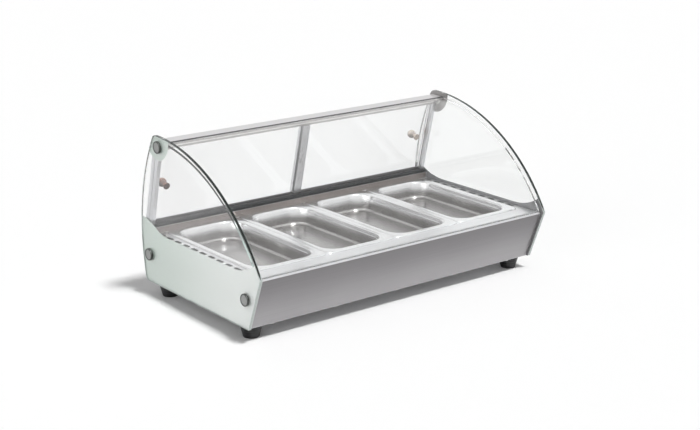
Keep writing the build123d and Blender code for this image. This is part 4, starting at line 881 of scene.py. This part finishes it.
def add_ground_corner(node, x, side):
    """Ground strip around one flat face of a side pane; side is where that face looks, +1 or -1."""
    loop = rim_loop(nodes[node].data, x * MM)
    points, faces = [], []
    for (y, z), away in zip(loop, outward(loop)):
        rim = LOW_BEVEL if z < WINDOW_FOOT / MM else BEVEL
        section = (
            (BEVEL_PROUD, -BEVEL), (BEVEL_PROUD, BEVEL_PROUD), (-rim, BEVEL_PROUD),
            (-rim, -BEVEL_SUNK), (-BEVEL_SUNK, -BEVEL_SUNK), (-BEVEL_SUNK, -BEVEL),
        )
        for out, over in section:
            points.append((x + side * out, y + away.x * over, z + away.y * over))
    count, ring = len(loop), len(section)
    for i in range(count):
        j = (i + 1) % count
        for k in range(ring):
            n = (k + 1) % ring
            quad = (i * ring + k, j * ring + k, j * ring + n, i * ring + n)
            faces.append(quad[::-1] if side > 0 else quad)
    name = f"{node}_{'outer' if abs(x) == GLASS_FACE else 'inner'}_corner"
    return new_piece(name, points, faces, "case", "side_glass", BEVEL_SHARP, "ground_edge")


moulded("ground_edge", ground_colour, 0.45, 1500.0)
corners = [
    add_ground_corner("side_glass_left", -GLASS_FACE, -1),
    add_ground_corner("side_glass_left", -GLASS_BACK, 1),
    add_ground_corner("side_glass_right", GLASS_BACK, -1),
    add_ground_corner("side_glass_right", GLASS_FACE, 1),
]
print("ground corners:", [len(corner.data.polygons) for corner in corners], "faces")

# %% [markdown]
# The feet are moulded rubber. Each is a cone with a rounded foot and three shallow grip rings.
# They are lathe forms too, about the upright axis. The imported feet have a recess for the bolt's
# head, and so has this profile.

# %% Feet
FOOT_STEPS = 64
PACKED_FOOT_RADIUS = 23.0
FOOT_PROFILE = [
    (6.0, 8.0), (6.0, 0.6), (6.6, 0.0), (15.0, 0.0), (16.3, 0.4), (16.9, 1.4), (17.4, 4.0),
    (18.4, 8.0), (18.2, 8.5), (18.3, 9.1), (18.9, 9.6), (20.0, 14.0), (19.8, 14.5), (19.9, 15.1),
    (20.5, 15.6), (21.6, 20.0), (21.4, 20.5), (21.5, 21.1), (22.1, 21.6), (23.6, 28.4), (23.9, 29.5),
    (23.4, 30.0), (5.5, 30.0), (5.2, 29.0), (5.2, 8.0),
]


def foot_centres():
    """Centre of each foot, from the box that holds all four."""
    low, high = box_mm("feet")
    across = (low[0] + PACKED_FOOT_RADIUS, high[0] - PACKED_FOOT_RADIUS)
    deep = (low[1] + PACKED_FOOT_RADIUS, high[1] - PACKED_FOOT_RADIUS)
    return [(x, y) for x in across for y in deep]


def add_feet():
    """Four turned feet as one piece."""
    points, faces = [], []
    for x, y in foot_centres():
        start = len(points)
        for radius, z in FOOT_PROFILE:
            for step in range(FOOT_STEPS):
                angle = 2 * pi * step / FOOT_STEPS
                points.append((x + radius * cos(angle), y + radius * sin(angle), z))
        for ring in range(len(FOOT_PROFILE)):
            onward = (ring + 1) % len(FOOT_PROFILE)
            here, there = start + ring * FOOT_STEPS, start + onward * FOOT_STEPS
            for step in range(FOOT_STEPS):
                beside = (step + 1) % FOOT_STEPS
                faces.append((here + step, here + beside, there + beside, there + step))
    feet = new_piece("moulded_feet", points, faces, "case", "black_rubber")
    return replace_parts(feet, "feet")


feet = add_feet()
print("feet:", len(feet.data.polygons), "faces, at", [tuple(round(v, 1) for v in c) for c in foot_centres()])

# %% [markdown]
# The serving side has a few printed marks: numbers around the thermostat's knob and ON and OFF at
# the switches. Text objects give clean outlines. Each is turned to face the reader,
# whose right hand is towards -X there, and becomes a mesh with a little thickness.

# %% Marks on the rear panel
PANEL_Y = 197.8
MARK_T = 0.1
DIAL = (-282.0, 96.0)
DIAL_WORDS = ("0", "30", "45", "60", "75", "90")
DIAL_START = 45
DIAL_STEP = 54
DIAL_SIZE = 4.6
DIAL_REACH = 26.6
TICK = (20.5, 23.0, 0.8)
SWITCHES_X = (236.0, 262.0)
SWITCH_WORDS = (("ON", 111.5), ("OFF", 80.5))
SWITCH_SIZE = 4.0
BOX_FACES = ((0, 1, 2, 3), (7, 6, 5, 4), (0, 4, 5, 1), (1, 5, 6, 2), (2, 6, 7, 3), (3, 7, 4, 0))


def text_points(words, height, x, z):
    """Points and faces of a word on the rear panel, centred at x and z, in millimetres."""
    curve = bpy.data.curves.new("words", "FONT")
    curve.body = words
    curve.size = height
    curve.extrude = MARK_T / 2
    curve.align_x = "CENTER"
    curve.align_y = "CENTER"
    holder = bpy.data.objects.new("words", curve)
    mesh = bpy.data.meshes.new_from_object(holder)
    points = [(x - v.co.x, PANEL_Y + MARK_T / 2 + v.co.z, z + v.co.y) for v in mesh.vertices]
    faces = [tuple(face.vertices) for face in mesh.polygons]
    bpy.data.objects.remove(holder)
    bpy.data.meshes.remove(mesh)
    return points, faces


def tick_points(angle):
    """A short bar that points at the dial's centre, at this angle clockwise from the foot."""
    near, far, width = TICK
    a = radians(angle)
    along = (-sin(a), -cos(a))
    across = (cos(a), -sin(a))
    points = []
    for y in (PANEL_Y, PANEL_Y + MARK_T):
        for reach, half in ((near, -1), (far, -1), (far, 1), (near, 1)):
            x = DIAL[0] - (along[0] * reach + across[0] * half * width / 2)
            z = DIAL[1] + along[1] * reach + across[1] * half * width / 2
            points.append((x, y, z))
    return points, BOX_FACES


def add_marks():
    """All printed marks of the rear panel in one piece."""
    parts = []
    for number, words in enumerate(DIAL_WORDS):
        angle = DIAL_START + number * DIAL_STEP
        a = radians(angle)
        x, z = DIAL[0] + sin(a) * DIAL_REACH, DIAL[1] - cos(a) * DIAL_REACH
        parts.append(tick_points(angle))
        parts.append(text_points(words, DIAL_SIZE, x, z))
    for x in SWITCHES_X:
        for words, z in SWITCH_WORDS:
            parts.append(text_points(words, SWITCH_SIZE, x, z))
    points, faces = [], []
    for some, skin in parts:
        faces += [tuple(index + len(points) for index in face) for face in skin]
        points += some
    return new_piece("panel_marks", points, faces, "case", "black_plastic")


marks = add_marks()
print("marks:", len(marks.data.polygons), "faces")

# %% [markdown]
# The thermometer shows its reading in lit bars behind a dark window. Seven bars make any digit, so
# a digit is only a list of the bars that are lit.

# %% Thermometer digits
BARS = {"6": "afgedc", "5": "afgcd"}
READING = ((-4.5, "6"), (4.5, "5"))
DIGIT_W = 5.0
DIGIT_H = 9.0
BAR_T = 0.9
BAR_GAP = 0.2
BAR_Y = (-0.05, 0.08)


def bar_place(name):
    """Middle and half size of one bar of a digit, right and up from the digit's middle."""
    across = (DIGIT_W / 2 - BAR_GAP, BAR_T / 2)
    upright = (BAR_T / 2, DIGIT_H / 4 - BAR_GAP)
    return {
        "a": ((0, DIGIT_H / 2), across),
        "g": ((0, 0), across),
        "d": ((0, -DIGIT_H / 2), across),
        "f": ((-DIGIT_W / 2, DIGIT_H / 4), upright),
        "b": ((DIGIT_W / 2, DIGIT_H / 4), upright),
        "e": ((-DIGIT_W / 2, -DIGIT_H / 4), upright),
        "c": ((DIGIT_W / 2, -DIGIT_H / 4), upright),
    }[name]


def add_reading():
    """The digits 6 and 5 on the face of the thermometer's window."""
    low, high = box_mm("thermometer_window")
    middle = ((low[0] + high[0]) / 2, (low[2] + high[2]) / 2)
    points, faces = [], []
    for place, digit in READING:
        for name in BARS[digit]:
            (right, up), (half_x, half_z) = bar_place(name)
            start = len(points)
            for out in BAR_Y:
                for sx, sz in ((-1, -1), (1, -1), (1, 1), (-1, 1)):
                    x, z = middle[0] - place - right + sx * half_x, middle[1] + up + sz * half_z
                    points.append((x, high[1] + out, z))
            faces += [tuple(start + index for index in face) for face in BOX_FACES]
    return new_piece("reading", points, faces, "case", "display", dress="lit_bars")


moulded(
    "lit_bars", (0.75, 0.10, 0.05), 0.4,
    Emission_Color=(1.0, 0.16, 0.06, 1.0), Emission_Strength=0.9,
)
reading = add_reading()
print("reading:", len(reading.data.polygons), "faces")

# %% [markdown]
# A product photograph stands on a seamless pale floor under studio lights. The world gives the same
# weak light from all sides. A sun high in front gives most of the light, and a shadow that gathers
# under the case and behind it; a broad, weak one from the left fills the side. What the camera,
# mirrors and glass see of the world is plain white, by Light Path, and the floor gets a little
# light of its own for the camera alone.

# %% Floor, lights and white surroundings
FLOOR_SIZE = 30.0
FLOOR_LIFT = 0.03
AMBIENT = 0.30
KEY = {"azimuth": 14, "elevation": 66, "power": 2.19, "spread": 9}
FILL = {"azimuth": -80, "elevation": 25, "power": 0.45, "spread": 50}


def add_floor():
    """Large pale plane just under the feet."""
    mesh = bpy.data.meshes.new("floor")
    shape = bmesh.new()
    bmesh.ops.create_grid(shape, x_segments=1, y_segments=1, size=FLOOR_SIZE / 2)
    shape.to_mesh(mesh)
    shape.free()
    floor = bpy.data.objects.new("floor", mesh)
    bpy.context.scene.collection.objects.link(floor)
    paper = surface(
        "floor", (0.97, 0.97, 0.97), 0.8, (moulded_grain, {"Grain": 60.0, "Tone": 0.004}), bump=0.0
    )
    tree = paper.node_tree
    shader = tree.nodes["Principled BSDF"]
    shader.inputs["Specular IOR Level"].default_value = 0.0
    shader.inputs["Emission Color"].default_value = (1, 1, 1, 1)
    lift = calc(tree, "MULTIPLY", put(tree, "LightPath").outputs["Is Camera Ray"], FLOOR_LIFT)
    tree.links.new(lift, shader.inputs["Emission Strength"])
    mesh.materials.append(paper)
    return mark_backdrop(floor)


def add_world():
    """White to the camera, glass and metal, and a softer light on the rest."""
    world = bpy.data.worlds.new("studio")
    bpy.context.scene.world = world
    world.use_nodes = True
    tree = world.node_tree
    path = put(tree, "LightPath").outputs
    seen = calc(tree, "MAXIMUM", path["Is Camera Ray"], path["Is Glossy Ray"])
    seen = calc(tree, "MAXIMUM", seen, path["Is Transmission Ray"])
    level = put(tree, "MapRange", {0: seen, 3: AMBIENT, 4: 1.0})
    back = tree.nodes["Background"]
    back.inputs["Color"].default_value = (1, 1, 1, 1)
    tree.links.new(level.outputs[0], back.inputs["Strength"])


def add_sun(name, azimuth, elevation, power, spread):
    """Sun from a compass direction and height, both in degrees; the spread softens its shadow."""
    data = bpy.data.lights.new(name, "SUN")
    data.energy = power
    data.angle = radians(spread)
    sun = bpy.data.objects.new(name, data)
    a, e = radians(azimuth), radians(elevation)
    towards = Vector((sin(a) * cos(e), -cos(a) * cos(e), sin(e)))
    sun.rotation_mode = "QUATERNION"
    sun.rotation_quaternion = towards.to_track_quat("Z", "Y")
    bpy.context.scene.collection.objects.link(sun)


add_floor()
add_world()
add_sun("key", **KEY)
add_sun("fill", **FILL)
bpy.context.scene.view_settings.view_transform = "Standard"
print("floor, world and suns in place:", KEY, FILL)
